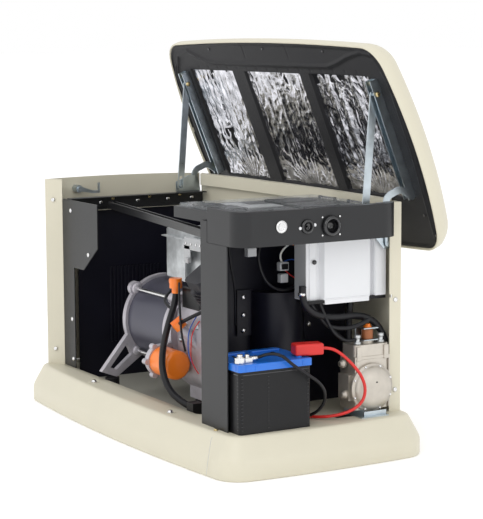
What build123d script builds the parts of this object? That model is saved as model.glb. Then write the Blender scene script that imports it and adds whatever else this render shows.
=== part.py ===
from build123d import *
import os
from math import atan2, cos, hypot, pi, radians, sin, tan

# Air-cooled home standby generator with its lid propped open and its front and
# right-hand service panels taken off.  Millimetres.  +X is the control and battery
# end, -Y the open front, +Z up, and the origin is under the middle of the base.

os.makedirs("parts", exist_ok=True)

# ---------------------------------------------------------------- driving sizes
BASE_LENGTH = 1218
BASE_WIDTH = 638
BASE_BOW_X = 14          # how far the middle of an end stands out
BASE_BOW_Y = 29          # how far the middle of a long side stands out
BASE_CORNER = 70
BASE_WALL = 6
SKIRT_HEIGHT = 45
DECK_HEIGHT = 105
BEVEL_INSET = 33
PAN_HEIGHT = 60          # floor of the engine well

RIM_HEIGHT = 645         # top edge of the enclosure walls
SHEET = 3                # enclosure sheet metal
END_X = 580              # middle of the bowed left-hand end wall
REAR_Y = 274             # middle of the bowed rear wall
POST_X = 512             # outer face of the right-hand rear post
POST_Y = 262
FACE_GAP = 0.3           # between curved faces that only sit side by side

PARTITION_X = 300        # wall between the engine and the battery bay
FRONT_Y = -247           # front face of the centre post
CENTRE_POST_LEFT = 385
CENTRE_POST_RIGHT = 514

LID_OPEN_ANGLE = 68
HINGE_Y = 228
HINGE_Z = 536
LID_LENGTH = 1174
LID_WIDTH = 588
LID_BOW_X = 42
LID_BOW_Y = 14
LID_CORNER = 80
LID_CENTRE_Y = 24        # of the closed lid
LID_WALL = 6
LID_RIM_Z = 648          # lower edge of the closed lid
LID_TOP_Z = 716
LID_SHOULDER_RISE = 24   # straight side of the lid, above its rim

ARM_X = 504              # middle plane of each lid arm
ARM_THICK = 4
BRACKET_X = 497.5
BRACKET_THICK = 3
STRUT_X = 490
STRUT_THICK = 4
PIN_RADIUS = 5
PIN_CLEARANCE = 0.05     # radial running clearance
STRUT_HALF = 10          # half the width of a prop bar
FOOT_PIN_RADIUS = 3.5
FOOT_SLOT_HALF = 6.3     # loose slot round the foot pin
STRUT_FOOT_RADIUS = 96   # from the lid pivot to the strut's foot pin

SHAFT_Y = -23            # engine and alternator shaft line
SHAFT_Z = 267
CAN_RADIUS = 116
CAN_LEFT = -236
CAN_RIGHT = -20
END_FRAME_THICK = 18
ROD_CIRCLE = 124

BATTERY_BACK_X = 387
BATTERY_LENGTH_X = 173
BATTERY_WIDTH_Y = 208
BATTERY_Y0 = -240
BATTERY_CASE_HEIGHT = 154
BATTERY_LID_HEIGHT = 18

BAND_BOTTOM = 560
BAND_RIGHT_X = 575
SHELF_Z = 630
SHELF_RIGHT_X = 470

SCREW_HEAD_RADIUS = 7


# ---------------------------------------------------------------- shared helpers
def bowed_outline(plane, length, width, bow_x, bow_y, corner, centre_y=0):
    """Sketch a rectangle whose four sides bow outwards, with rounded corners."""
    half_x = length / 2
    half_y = width / 2
    x = half_x - bow_x
    y = half_y - bow_y
    with BuildSketch(plane) as outline:
        with BuildLine():
            ThreePointArc((-x, centre_y - y), (0, centre_y - half_y), (x, centre_y - y))
            ThreePointArc((x, centre_y - y), (half_x, centre_y), (x, centre_y + y))
            ThreePointArc((x, centre_y + y), (0, centre_y + half_y), (-x, centre_y + y))
            ThreePointArc((-x, centre_y + y), (-half_x, centre_y), (-x, centre_y - y))
        make_face()
        fillet(outline.vertices(), corner)
    add(outline.sketch)


def block(x_span, y_span, z_span, mode=Mode.ADD):
    """A box between two values along each axis of the current workplane."""
    spans = (x_span, y_span, z_span)
    middle = [(low + high) / 2 for low, high in spans]
    with Locations(tuple(middle)):
        Box(*[high - low for low, high in spans], mode=mode)


def rod(plane, radius, length, mode=Mode.ADD):
    """A cylinder that starts on a plane and runs along its normal."""
    with BuildSketch(plane) as section:
        Circle(radius)
    extrude(section.sketch, amount=length, mode=mode)


def facing_x(x, y, z):
    """A plane whose normal is +X and whose own X runs along +Y."""
    return Plane(origin=(x, y, z), x_dir=(0, 1, 0), z_dir=(1, 0, 0))


def facing_front(x, y, z):
    """A plane whose normal is -Y and whose own X runs along +X."""
    return Plane(origin=(x, y, z), x_dir=(1, 0, 0), z_dir=(0, -1, 0))


def facing_up(x, y, z):
    """A plane whose normal is +Z."""
    return Plane(origin=(x, y, z), x_dir=(1, 0, 0), z_dir=(0, 0, 1))


def cable_path(points):
    """Bend radii for a route: 0.45 of the shorter run over the tangent of half the turn."""
    corners = [Vector(*point) for point in points]
    radii = []
    for before, corner, after in zip(corners, corners[1:], corners[2:]):
        arrive = corner - before
        leave = after - corner
        half_turn = radians(arrive.get_angle(leave)) / 2
        radii.append(0.45 * min(arrive.length, leave.length) / tan(half_turn))
    return radii


# ---------------------------------------------------------------- lid frame
open_angle = radians(LID_OPEN_ANGLE)
LID = Plane(origin=(0, HINGE_Y, HINGE_Z), x_dir=(1, 0, 0), z_dir=(0, sin(open_angle), cos(open_angle)))
lid_centre_v = LID_CENTRE_Y - HINGE_Y       # measured from the hinge, closed lid
rim_w = LID_RIM_Z - HINGE_Z
top_w = LID_TOP_Z - HINGE_Z
liner_w = rim_w + 8                          # face of the liner, above the rim
channel_top_w = liner_w - FACE_GAP
channel_deep = 22
pivot_v = -362                               # strut's upper pin, in the lid
pivot_w = channel_top_w - SHEET - STRUT_HALF - 1
pivot_radius = hypot(pivot_v, pivot_w)
pivot_closed_angle = atan2(pivot_w, pivot_v)
foot_angle = pivot_closed_angle - open_angle / 2
foot_y = HINGE_Y + STRUT_FOOT_RADIUS * cos(foot_angle)
foot_z = HINGE_Z + STRUT_FOOT_RADIUS * sin(foot_angle)
upper_angle = pivot_closed_angle - open_angle
upper_y = HINGE_Y + pivot_radius * cos(upper_angle)
upper_z = HINGE_Z + pivot_radius * sin(upper_angle)
strut_length = hypot(upper_y - foot_y, upper_z - foot_z)
strut_shortest = pivot_radius - STRUT_FOOT_RADIUS
strut_angle = atan2(foot_z - upper_z, foot_y - upper_y)
print("strut", round(strut_length, 1), "slot", round(strut_length - strut_shortest, 1),
      "foot", round(foot_y, 1), round(foot_z, 1), "upper pin", round(upper_y, 1), round(upper_z, 1))

# ---------------------------------------------------------------- base
deck_length = BASE_LENGTH - 2 * BEVEL_INSET
deck_width = BASE_WIDTH - 2 * BEVEL_INSET
WELL_X = (-506, PARTITION_X - 8)
WELL_Y = (-207, 234)
ledge_pockets = [(-225, -252), (236, -257)]   # recessed screw seats on the front ledge

with BuildPart() as base_frame:
    bowed_outline(Plane.XY, BASE_LENGTH, BASE_WIDTH, BASE_BOW_X, BASE_BOW_Y, BASE_CORNER)
    extrude(amount=SKIRT_HEIGHT)
    bowed_outline(Plane.XY.offset(SKIRT_HEIGHT), BASE_LENGTH, BASE_WIDTH, BASE_BOW_X, BASE_BOW_Y, BASE_CORNER)
    bowed_outline(Plane.XY.offset(DECK_HEIGHT), deck_length, deck_width, BASE_BOW_X, BASE_BOW_Y, BASE_CORNER)
    loft()
    inner = 2 * BASE_WALL
    bowed_outline(Plane.XY.offset(BASE_WALL), BASE_LENGTH - inner, BASE_WIDTH - inner,
                  BASE_BOW_X, BASE_BOW_Y, BASE_CORNER)
    extrude(amount=SKIRT_HEIGHT - BASE_WALL, mode=Mode.SUBTRACT)
    bowed_outline(Plane.XY.offset(SKIRT_HEIGHT), BASE_LENGTH - inner, BASE_WIDTH - inner,
                  BASE_BOW_X, BASE_BOW_Y, BASE_CORNER)
    bowed_outline(Plane.XY.offset(DECK_HEIGHT - BASE_WALL), deck_length - inner, deck_width - inner,
                  BASE_BOW_X, BASE_BOW_Y, BASE_CORNER)
    loft(mode=Mode.SUBTRACT)
    block(WELL_X, WELL_Y, (SKIRT_HEIGHT, DECK_HEIGHT + 1), mode=Mode.SUBTRACT)
    with BuildSketch(Plane.XY.offset(DECK_HEIGHT)):
        with Locations(*ledge_pockets):
            SlotOverall(46, 20)
    extrude(amount=-3, mode=Mode.SUBTRACT)

with BuildPart() as floor_pan:
    well_gap = 1
    pan_x = (WELL_X[0] + well_gap, WELL_X[1] - well_gap)
    pan_y = (WELL_Y[0] + well_gap, WELL_Y[1] - well_gap)
    block(pan_x, pan_y, (BASE_WALL, PAN_HEIGHT))
    block((pan_x[0] + SHEET, pan_x[1] - SHEET), (pan_y[0] + SHEET, pan_y[1] - SHEET),
          (BASE_WALL, PAN_HEIGHT - SHEET), mode=Mode.SUBTRACT)

# ---------------------------------------------------------------- enclosure walls
WALL_BOTTOM = DECK_HEIGHT
wall_height = RIM_HEIGHT - WALL_BOTTOM
STRIP_Y = -208                       # inner end of the left wall's slanted front flange
left_front = (-END_X + 30, -245)
left_rear = (-END_X + 38, 185)
left_corner_end = (-515, 243)
LATCH_Y, LATCH_Z = -139, 612
LATCH_RADIUS = 11

with BuildPart() as left_end_panel:
    with BuildSketch(Plane.XY.offset(WALL_BOTTOM)):
        with BuildLine():
            Polyline((left_front[0] + 36, STRIP_Y), left_front)
            ThreePointArc(left_front, (-END_X, -25), left_rear)
            RadiusArc(left_rear, left_corner_end, -62)
            offset(amount=SHEET, side=Side.RIGHT)
        make_face()
    extrude(amount=wall_height)
    rod(facing_x(-END_X - 10, LATCH_Y, LATCH_Z), LATCH_RADIUS + FACE_GAP, 50, mode=Mode.SUBTRACT)

rear_left = (-500, 246)
rear_right = (POST_X - 38, POST_Y - SHEET - 1)
rear_middle = (-20, REAR_Y)
FLANGE = 20
with BuildPart() as rear_panel:
    with BuildSketch(Plane.XY.offset(WALL_BOTTOM)):
        with BuildLine():
            ThreePointArc(rear_left, rear_middle, rear_right)
            offset(amount=SHEET, side=Side.RIGHT)
        make_face()
    extrude(amount=wall_height)
    with BuildSketch(Plane.XY.offset(RIM_HEIGHT - SHEET)):
        with BuildLine():
            ThreePointArc((rear_left[0] + 22, rear_left[1] + 1), rear_middle, rear_right)
            offset(amount=FLANGE, side=Side.RIGHT)
        make_face()
    extrude(amount=SHEET)
    with BuildSketch(Plane.XY.offset(RIM_HEIGHT - 34)):
        with BuildLine():
            ThreePointArc((rear_left[0] + 22, rear_left[1] + 1 - FLANGE + SHEET),
                          (rear_middle[0], rear_middle[1] - FLANGE + SHEET),
                          (rear_right[0], rear_right[1] - FLANGE + SHEET))
            offset(amount=SHEET, side=Side.RIGHT)
        make_face()
    extrude(amount=34)

with BuildPart() as right_rear_post:
    block((POST_X - SHEET, POST_X), (POST_Y - 34, POST_Y), (DECK_HEIGHT, RIM_HEIGHT - 5))
    block((POST_X - 35, POST_X), (POST_Y - SHEET, POST_Y), (DECK_HEIGHT, RIM_HEIGHT - 5))
    block((POST_X - SHEET - 1, POST_X + 1), (POST_Y - 35, POST_Y - 26), (398, 406), mode=Mode.SUBTRACT)

# ---------------------------------------------------------------- dark inner frame
UPRIGHT_Y = STRIP_Y + SHEET
UPRIGHT_X = (-512, -440)
GUSSET_RIGHT = -283
with BuildPart() as left_upright:
    with BuildSketch(facing_front(0, UPRIGHT_Y, 0)):
        with BuildLine():
            Polyline((UPRIGHT_X[0], DECK_HEIGHT), (UPRIGHT_X[1], DECK_HEIGHT), (UPRIGHT_X[1], 397),
                     (-376, 397), (GUSSET_RIGHT, 467), (GUSSET_RIGHT, 590), (UPRIGHT_X[0], 590), close=True)
        make_face()
    extrude(amount=SHEET)
    block((UPRIGHT_X[0], UPRIGHT_X[0] + SHEET), (UPRIGHT_Y, UPRIGHT_Y + 28), (DECK_HEIGHT, 555))

RAIL_X = -484
RAIL_Y = (UPRIGHT_Y + 1, 238)
with BuildPart() as top_rail:
    block((RAIL_X - SHEET, RAIL_X), RAIL_Y, (556, 593))
    block((RAIL_X, RAIL_X + 26), RAIL_Y, (593 - SHEET, 593))
    block((RAIL_X, RAIL_X + 14), RAIL_Y, (556, 556 + SHEET))

brace_start = Vector(RAIL_X + 27, -78, 570)
brace_end = Vector(CENTRE_POST_LEFT - 12, FRONT_Y + 22, 576)
brace_run = brace_end - brace_start
BRACE_PLANE = Plane(origin=brace_start, x_dir=(brace_run.Y, -brace_run.X, 0), z_dir=brace_run)
with BuildPart() as front_brace:
    with BuildSketch(BRACE_PLANE):
        Rectangle(22, 20)
        with Locations((0, -4)):
            Rectangle(16, 14, mode=Mode.SUBTRACT)
    extrude(amount=brace_run.length)

TAB_WIDTH = 32
TAB_TOP = 612
SHELF_FRONT_Y = -222
with BuildPart() as centre_post:
    block((CENTRE_POST_LEFT, CENTRE_POST_RIGHT), (FRONT_Y, FRONT_Y + SHEET), (DECK_HEIGHT, BAND_BOTTOM - 1))
    block((CENTRE_POST_LEFT, CENTRE_POST_LEFT + TAB_WIDTH), (FRONT_Y, FRONT_Y + SHEET), (DECK_HEIGHT, TAB_TOP))
    block((CENTRE_POST_LEFT, CENTRE_POST_LEFT + SHEET), (FRONT_Y, SHELF_FRONT_Y - 1.5), (BAND_BOTTOM, TAB_TOP))

MODULE_X = (424, 490)
MODULE_Y = (0, 232)
MODULE_Z = (403, 556)
MODULE_TAB_Y = (20, 190)
PARTITION_TOP = 589
# The partition starts behind the centre post and bends back to cross the machine.
with BuildPart() as partition_wall:
    with BuildSketch(Plane.XY.offset(DECK_HEIGHT)):
        with BuildLine():
            FilletPolyline((CENTRE_POST_LEFT - 5, FRONT_Y + 42), (PARTITION_X, -150), (PARTITION_X, 232),
                           radius=60)
            offset(amount=SHEET, side=Side.LEFT)
        make_face()
    extrude(amount=PARTITION_TOP - DECK_HEIGHT)
    for y in MODULE_TAB_Y:
        block((PARTITION_X - 1, MODULE_X[0]), (y, y + 20), (MODULE_Z[1] - 30, MODULE_Z[1] - 6))

BAFFLE_X = -493
GRILLE_Y = (-72, 96)
GRILLE_Z = (162, 386)
louvre_count = 14
louvre_step = (GRILLE_Y[1] - GRILLE_Y[0]) / louvre_count
with BuildPart() as inner_baffle:
    block((BAFFLE_X, BAFFLE_X + SHEET), (UPRIGHT_Y + 34, WELL_Y[1] - 0.5), (PAN_HEIGHT, 552))
    block((BAFFLE_X, PARTITION_X - SHEET - 1), (233, 236), (DECK_HEIGHT, 552))
    louvre_y = [GRILLE_Y[0] + louvre_step * (index + 0.5) for index in range(louvre_count)]
    with Locations(*[(BAFFLE_X + SHEET / 2, y, sum(GRILLE_Z) / 2) for y in louvre_y]):
        Box(SHEET + 2, louvre_step * 0.5, GRILLE_Z[1] - GRILLE_Z[0], mode=Mode.SUBTRACT)

# ---------------------------------------------------------------- control band and shelf
band_start = (CENTRE_POST_LEFT + 36, FRONT_Y - 1)
band_round = 46
LOCK_Y, LOCK_Z = -132, 606
SOCKET_Y, SOCKET_Z = -58, 602
PORT_Y, PORT_Z = 10, 600
LOCK_RADIUS = 12
BARREL_RADIUS = 8
SOCKET_RADIUS = 13
PORT_RADIUS = 22
with BuildPart() as control_band:
    with BuildSketch(Plane.XY.offset(BAND_BOTTOM)):
        with BuildLine():
            first = Line(band_start, (BAND_RIGHT_X - band_round, FRONT_Y - 1))
            turn = JernArc(first @ 1, first % 1, band_round, 84)
            ThreePointArc(turn @ 1, (BAND_RIGHT_X, -10), (BAND_RIGHT_X - 5, 170))
            JernArc((BAND_RIGHT_X - 5, 170), (-0.035, 1), 60, 66)
            offset(amount=SHEET, side=Side.LEFT)
        make_face()
    extrude(amount=RIM_HEIGHT - BAND_BOTTOM)
    with BuildSketch(Plane.XY.offset(RIM_HEIGHT - SHEET)):
        with BuildLine():
            first = Line(band_start, (BAND_RIGHT_X - band_round, FRONT_Y - 1))
            turn = JernArc(first @ 1, first % 1, band_round, 84)
            ThreePointArc(turn @ 1, (BAND_RIGHT_X, -10), (BAND_RIGHT_X - 5, 170))
            JernArc((BAND_RIGHT_X - 5, 170), (-0.035, 1), 60, 66)
            offset(amount=24, side=Side.LEFT)
        make_face()
    extrude(amount=SHEET)
    for y, z, radius in ((LOCK_Y, LOCK_Z, LOCK_RADIUS), (SOCKET_Y, SOCKET_Z, SOCKET_RADIUS),
                         (PORT_Y, PORT_Z, PORT_RADIUS)):
        rod(facing_x(BAND_RIGHT_X - 30, y, z), radius + FACE_GAP, 40, mode=Mode.SUBTRACT)

BREAKER_X = 420
BREAKER_Y = -60
COVER_X = (PARTITION_X - 90, SHELF_RIGHT_X - 4)
COVER_Y = (-210, 190)
COVER_HINGE_Y = 196
COVER_HINGE_Z = SHELF_Z + 5
COVER_PIN_RADIUS = 2
shelf_x = (PARTITION_X - 100, SHELF_RIGHT_X)
shelf_y = (SHELF_FRONT_Y, 205)
shelf_skirt_z = (SHELF_Z - 28, SHELF_Z)
with BuildPart() as control_shelf:
    block(shelf_x, shelf_y, (SHELF_Z - SHEET, SHELF_Z))
    block((shelf_x[0], shelf_x[0] + SHEET), shelf_y, shelf_skirt_z)
    block(shelf_x, (shelf_y[0], shelf_y[0] + SHEET), shelf_skirt_z)
    block(shelf_x, (shelf_y[1] - SHEET, shelf_y[1]), shelf_skirt_z)
    for x in (COVER_X[0] + 24, COVER_X[1] - 96):
        rod(facing_x(x, COVER_HINGE_Y, COVER_HINGE_Z), COVER_PIN_RADIUS, 72)
        for ear_x in (x - 2, x + 70):
            block((ear_x, ear_x + 4), (COVER_HINGE_Y - 4, COVER_HINGE_Y + 4), (SHELF_Z - 1, COVER_HINGE_Z + 3))
    block((BREAKER_X - 13, BREAKER_X + 13), (BREAKER_Y - 8, BREAKER_Y + 8), (SHELF_Z - SHEET - 1, SHELF_Z + 1),
          mode=Mode.SUBTRACT)

with BuildPart() as clear_cover:
    block(COVER_X, COVER_Y, (SHELF_Z + 0.4, SHELF_Z + 9))
    block((COVER_X[0] + 2, COVER_X[1] - 2), (COVER_Y[0] + 2, COVER_Y[1] - 2), (SHELF_Z, SHELF_Z + 7),
          mode=Mode.SUBTRACT)
    rod(facing_x(COVER_X[0] + 30, COVER_HINGE_Y, COVER_HINGE_Z), 4, 60)
    rod(facing_x(COVER_X[1] - 90, COVER_HINGE_Y, COVER_HINGE_Z), 4, 60)
    block((COVER_X[0] + 30, COVER_X[0] + 90), (COVER_Y[1] - 1, COVER_HINGE_Y), (COVER_HINGE_Z, COVER_HINGE_Z + 4))
    block((COVER_X[1] - 90, COVER_X[1] - 30), (COVER_Y[1] - 1, COVER_HINGE_Y), (COVER_HINGE_Z, COVER_HINGE_Z + 4))
    rod(facing_x(COVER_X[0] + 29, COVER_HINGE_Y, COVER_HINGE_Z), COVER_PIN_RADIUS + PIN_CLEARANCE,
        COVER_X[1] - COVER_X[0], mode=Mode.SUBTRACT)

TOGGLE_RADIUS = 5
with BuildPart() as main_breaker:
    block((BREAKER_X - 40, BREAKER_X + 30), (BREAKER_Y - 22, BREAKER_Y + 22), (SHELF_Z - 75, SHELF_Z - SHEET))
    block((BREAKER_X - 12, BREAKER_X + 12), (BREAKER_Y - 7, BREAKER_Y + 7), (SHELF_Z - 24, SHELF_Z),
          mode=Mode.SUBTRACT)
with BuildPart() as breaker_toggle:
    rod(Plane(origin=(BREAKER_X, BREAKER_Y + 5, SHELF_Z - 14), x_dir=(1, 0, 0), z_dir=(0, -1, 0)), TOGGLE_RADIUS, 10)
    with Locations(Plane(origin=(BREAKER_X, BREAKER_Y, SHELF_Z - 14)).rotated((0, 18, 0))):
        with Locations((0, 0, 7)):
            Box(3.4, 9, 14)

with BuildPart() as panel_outlets:
    rod(facing_x(BAND_RIGHT_X - 24, SOCKET_Y, SOCKET_Z), SOCKET_RADIUS, 26)
    rod(facing_x(BAND_RIGHT_X + 1.5, SOCKET_Y, SOCKET_Z), SOCKET_RADIUS + 4, 2.5)
    rod(facing_x(BAND_RIGHT_X - 8, SOCKET_Y, SOCKET_Z), SOCKET_RADIUS - 3, 12, mode=Mode.SUBTRACT)
    rod(facing_x(BAND_RIGHT_X - 10, SOCKET_Y, SOCKET_Z), 3, 8)
    rod(facing_x(BAND_RIGHT_X - 30, PORT_Y, PORT_Z), PORT_RADIUS, 33)
    rod(facing_x(BAND_RIGHT_X + 1.5, PORT_Y, PORT_Z), PORT_RADIUS + 4, 4)
    rod(facing_x(BAND_RIGHT_X - 24, PORT_Y, PORT_Z), PORT_RADIUS - 5, 30, mode=Mode.SUBTRACT)

with BuildPart() as lock_body:
    rod(facing_x(BAND_RIGHT_X - 26, LOCK_Y, LOCK_Z), LOCK_RADIUS, 29)
    rod(facing_x(BAND_RIGHT_X + 1.5, LOCK_Y, LOCK_Z), LOCK_RADIUS + 3, 2.5)
    rod(facing_x(BAND_RIGHT_X - 27, LOCK_Y, LOCK_Z), BARREL_RADIUS + PIN_CLEARANCE, 40, mode=Mode.SUBTRACT)
with BuildPart() as lock_barrel:
    rod(facing_x(BAND_RIGHT_X - 36, LOCK_Y, LOCK_Z), BARREL_RADIUS, 40)
    block((BAND_RIGHT_X - 1, BAND_RIGHT_X + 5), (LOCK_Y - 1, LOCK_Y + 1), (LOCK_Z - 5, LOCK_Z + 5), mode=Mode.SUBTRACT)
    block((BAND_RIGHT_X - 39, BAND_RIGHT_X - 36), (LOCK_Y - 6, LOCK_Y + 6), (LOCK_Z - 22, LOCK_Z + 6))

# ---------------------------------------------------------------- controller module
with BuildPart() as controller_module:
    with BuildSketch(Plane.XY.offset(MODULE_Z[0])):
        with BuildLine():
            Polyline((MODULE_X[0], MODULE_Y[0]), (478, MODULE_Y[0]), (478, 30), (474, 34), (474, 40),
                     (MODULE_X[1], 46), (MODULE_X[1], 182), (478, 190), (478, 196), (MODULE_X[1] - 2, 200),
                     (MODULE_X[1] - 2, MODULE_Y[1]), (MODULE_X[0], MODULE_Y[1]), close=True)
        make_face()
    extrude(amount=MODULE_Z[1] - MODULE_Z[0])
    block((MODULE_X[1] - 20, MODULE_X[1]), (48, 180), (MODULE_Z[0] - 11, MODULE_Z[0]))

# ---------------------------------------------------------------- battery
BATTERY_X = (BATTERY_BACK_X, BATTERY_BACK_X + BATTERY_LENGTH_X)
BATTERY_Y = (BATTERY_Y0, BATTERY_Y0 + BATTERY_WIDTH_Y)
battery_middle = ((BATTERY_X[0] + BATTERY_X[1]) / 2, (BATTERY_Y[0] + BATTERY_Y[1]) / 2)
CASE_TOP = DECK_HEIGHT + BATTERY_CASE_HEIGHT
LID_TOP = CASE_TOP + BATTERY_LID_HEIGHT
with BuildPart() as battery_case:
    with BuildSketch(Plane.XY.offset(DECK_HEIGHT)):
        with Locations(battery_middle):
            RectangleRounded(BATTERY_LENGTH_X - 6, BATTERY_WIDTH_Y - 6, 9)
    extrude(amount=BATTERY_CASE_HEIGHT)
NEGATIVE_AT = (BATTERY_X[1] - 28, BATTERY_Y[0] + 18)
POSITIVE_AT = (BATTERY_X[1] - 28, BATTERY_Y[1] - 24)
POST_RADIUS = 8
POST_HEIGHT = 15
with BuildPart() as battery_lid:
    with BuildSketch(Plane.XY.offset(CASE_TOP)):
        with Locations(battery_middle):
            RectangleRounded(BATTERY_LENGTH_X, BATTERY_WIDTH_Y, 8)
    extrude(amount=BATTERY_LID_HEIGHT)
    fillet(battery_lid.faces().sort_by(Axis.Z)[-1].edges(), 3)
    for x, y in (NEGATIVE_AT, POSITIVE_AT):
        rod(facing_up(x, y, LID_TOP - 1), POST_RADIUS, POST_HEIGHT + 1)
with BuildPart() as negative_clamp:
    rod(facing_up(*NEGATIVE_AT, LID_TOP + 1), POST_RADIUS + 6, 13)
    block((NEGATIVE_AT[0] - 9, NEGATIVE_AT[0] + 9), (NEGATIVE_AT[1], NEGATIVE_AT[1] + 30), (LID_TOP + 1, LID_TOP + 12))
    rod(facing_up(*NEGATIVE_AT, LID_TOP), POST_RADIUS + FACE_GAP, 20, mode=Mode.SUBTRACT)
with BuildPart() as positive_boot:
    with Locations(Plane(origin=(POSITIVE_AT[0] - 4, POSITIVE_AT[1] + 28, LID_TOP + 17)).rotated((0, 0, -12))):
        Box(40, 74, 29)
    fillet(positive_boot.edges(), 5)
    rod(facing_up(*POSITIVE_AT, LID_TOP - 1), POST_RADIUS + FACE_GAP, POST_HEIGHT + 2, mode=Mode.SUBTRACT)

# ---------------------------------------------------------------- battery cables
CABLE_RADIUS = 4
negative_route = [(532, -191, 284), (533, -170, 287), (545, -148, 296), (567, -126, 294), (582, -102, 268),
                  (583, -62, 242), (578, -22, 216), (564, 4, 184), (542, 10, 150), (514, 0, 123), (480, -10, 111)]
positive_route = [(541, 9.6, 294), (545, 30, 293), (554, 54, 278), (563, 80, 252), (568, 104, 222),
                  (569, 118, 188), (565, 114, 154), (554, 88, 130), (532, 52, 117), (502, 22, 111), (468, 4, 110)]


def cord_tube(name, route, radius):
    """Sweep a round section along a cable's or hose's route and report its bends."""
    radii = cable_path(route)
    with BuildPart() as tube:
        with BuildLine() as path:
            FilletPolyline(*route, radius=radii)
        spine = path.wire()
        with BuildSketch(Plane(origin=spine @ 0, z_dir=spine % 0)):
            Circle(radius)
        sweep(path=spine)
    expected = pi * radius ** 2 * spine.length
    print(name, "length", round(spine.length), "radii", [round(value) for value in radii],
          "volume ratio", round(tube.part.volume / expected, 4))
    return tube


negative_cable = cord_tube("negative_cable", negative_route, CABLE_RADIUS)
positive_cable = cord_tube("positive_cable", positive_route, CABLE_RADIUS)

# ---------------------------------------------------------------- gas regulator
REG_Y = (118, 222)
REG_X = (455, 520)
REG_Z = (120, 285)
DOME_Y, DOME_Z = 166, 176
with BuildPart() as regulator_bracket:
    block((470, 552), (118, 200), (DECK_HEIGHT, DECK_HEIGHT + SHEET))
    block((538, 541), (132, 199), (DECK_HEIGHT, DECK_HEIGHT + 14))
    block((470, 473), (118, 200), (DECK_HEIGHT, DECK_HEIGHT + 15))
with BuildPart() as regulator_body:
    block(REG_X, REG_Y, REG_Z)
    fillet(regulator_body.edges().filter_by(Axis.Z), 12)
    rod(facing_up(REG_X[0] + 32, REG_Y[0] + 54, REG_Z[1]), 20, 8)
    block((REG_X[0] + 10, REG_X[1] - 8), (REG_Y[0] - 14, REG_Y[0]), (REG_Z[0] + 25, REG_Z[0] + 90))
with BuildPart() as regulator_dome:
    rod(facing_x(REG_X[1], DOME_Y, DOME_Z), 56, 28)
    fillet(regulator_dome.faces().sort_by(Axis.X)[-1].edges(), 18)
    rod(facing_x(REG_X[1], DOME_Y, DOME_Z), 62, 8)
COIL_Y = 172
COIL_HEIGHT = 27
yoke_y = (COIL_Y - 22, COIL_Y + 22)
yoke_z = REG_Z[1] + 8
with BuildPart() as gas_solenoid:
    block((470, 512), yoke_y, (yoke_z, yoke_z + SHEET))
    block((470, 470 + SHEET), yoke_y, (yoke_z, yoke_z + COIL_HEIGHT + 2 * SHEET))
    block((470, 512), yoke_y, (yoke_z + COIL_HEIGHT + SHEET, yoke_z + COIL_HEIGHT + 2 * SHEET))
    rod(facing_up(494, COIL_Y, yoke_z + SHEET), 15, COIL_HEIGHT)

# ---------------------------------------------------------------- hoses under the module
HOSE_RADIUS = 9
VENT_RADIUS = 8
gas_hose_route = [(484, -14, 442), (482, -15, 408), (480, 8, 376), (479, 52, 359), (479, 100, 355),
                  (480, 146, 356), (482, 188, 345), (484, 218, 318), (486, 234, 282), (486, 236, 242)]
vent_hose_route = [(448, 150, 389), (449, 148, 362), (450, 146, 337), (454, 143, 312), (457, 140, 287)]


gas_hose = cord_tube("gas_hose", gas_hose_route, HOSE_RADIUS)
vent_hose = cord_tube("vent_hose", vent_hose_route, VENT_RADIUS)

# ---------------------------------------------------------------- muffler shield
SHIELD_Y = 16
SHIELD_RADIUS = 74
SHIELD_TOP = 408
with BuildPart() as muffler_shield:
    with BuildSketch(Plane.XY.offset(DECK_HEIGHT + 4)):
        with Locations((PARTITION_X + SHEET + 2, SHIELD_Y)):
            Circle(SHIELD_RADIUS)
            Circle(SHIELD_RADIUS - 2 * SHEET, mode=Mode.SUBTRACT)
        with Locations((PARTITION_X + SHEET + 2 - SHIELD_RADIUS, SHIELD_Y)):
            Rectangle(2 * SHIELD_RADIUS, 2 * SHIELD_RADIUS + 2, mode=Mode.SUBTRACT)
    extrude(amount=SHIELD_TOP - DECK_HEIGHT - 4)
    block((PARTITION_X + SHEET + 0.5, PARTITION_X + 2 * SHEET + 2), (SHIELD_Y - SHIELD_RADIUS - 42, SHIELD_Y - SHIELD_RADIUS + 5),
          (SHIELD_TOP - 110, SHIELD_TOP + 8))
    block((PARTITION_X + SHEET + 0.5, PARTITION_X + 2 * SHEET + 2), (SHIELD_Y + SHIELD_RADIUS - 5, SHIELD_Y + SHIELD_RADIUS + 42),
          (SHIELD_TOP - 110, SHIELD_TOP + 8))
    with BuildSketch(Plane.XY.offset(SHIELD_TOP)):
        with Locations((PARTITION_X + SHEET + 2, SHIELD_Y)):
            Circle(SHIELD_RADIUS)
        with Locations((PARTITION_X + SHEET + 2 - SHIELD_RADIUS, SHIELD_Y)):
            Rectangle(2 * SHIELD_RADIUS, 2 * SHIELD_RADIUS + 2, mode=Mode.SUBTRACT)
    extrude(amount=SHEET)
with BuildPart() as muffler:
    rod(facing_up(PARTITION_X + 32, SHIELD_Y, DECK_HEIGHT + 20), 24, 260)
    fillet(muffler.edges().filter_by(GeomType.CIRCLE), 8)

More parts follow.
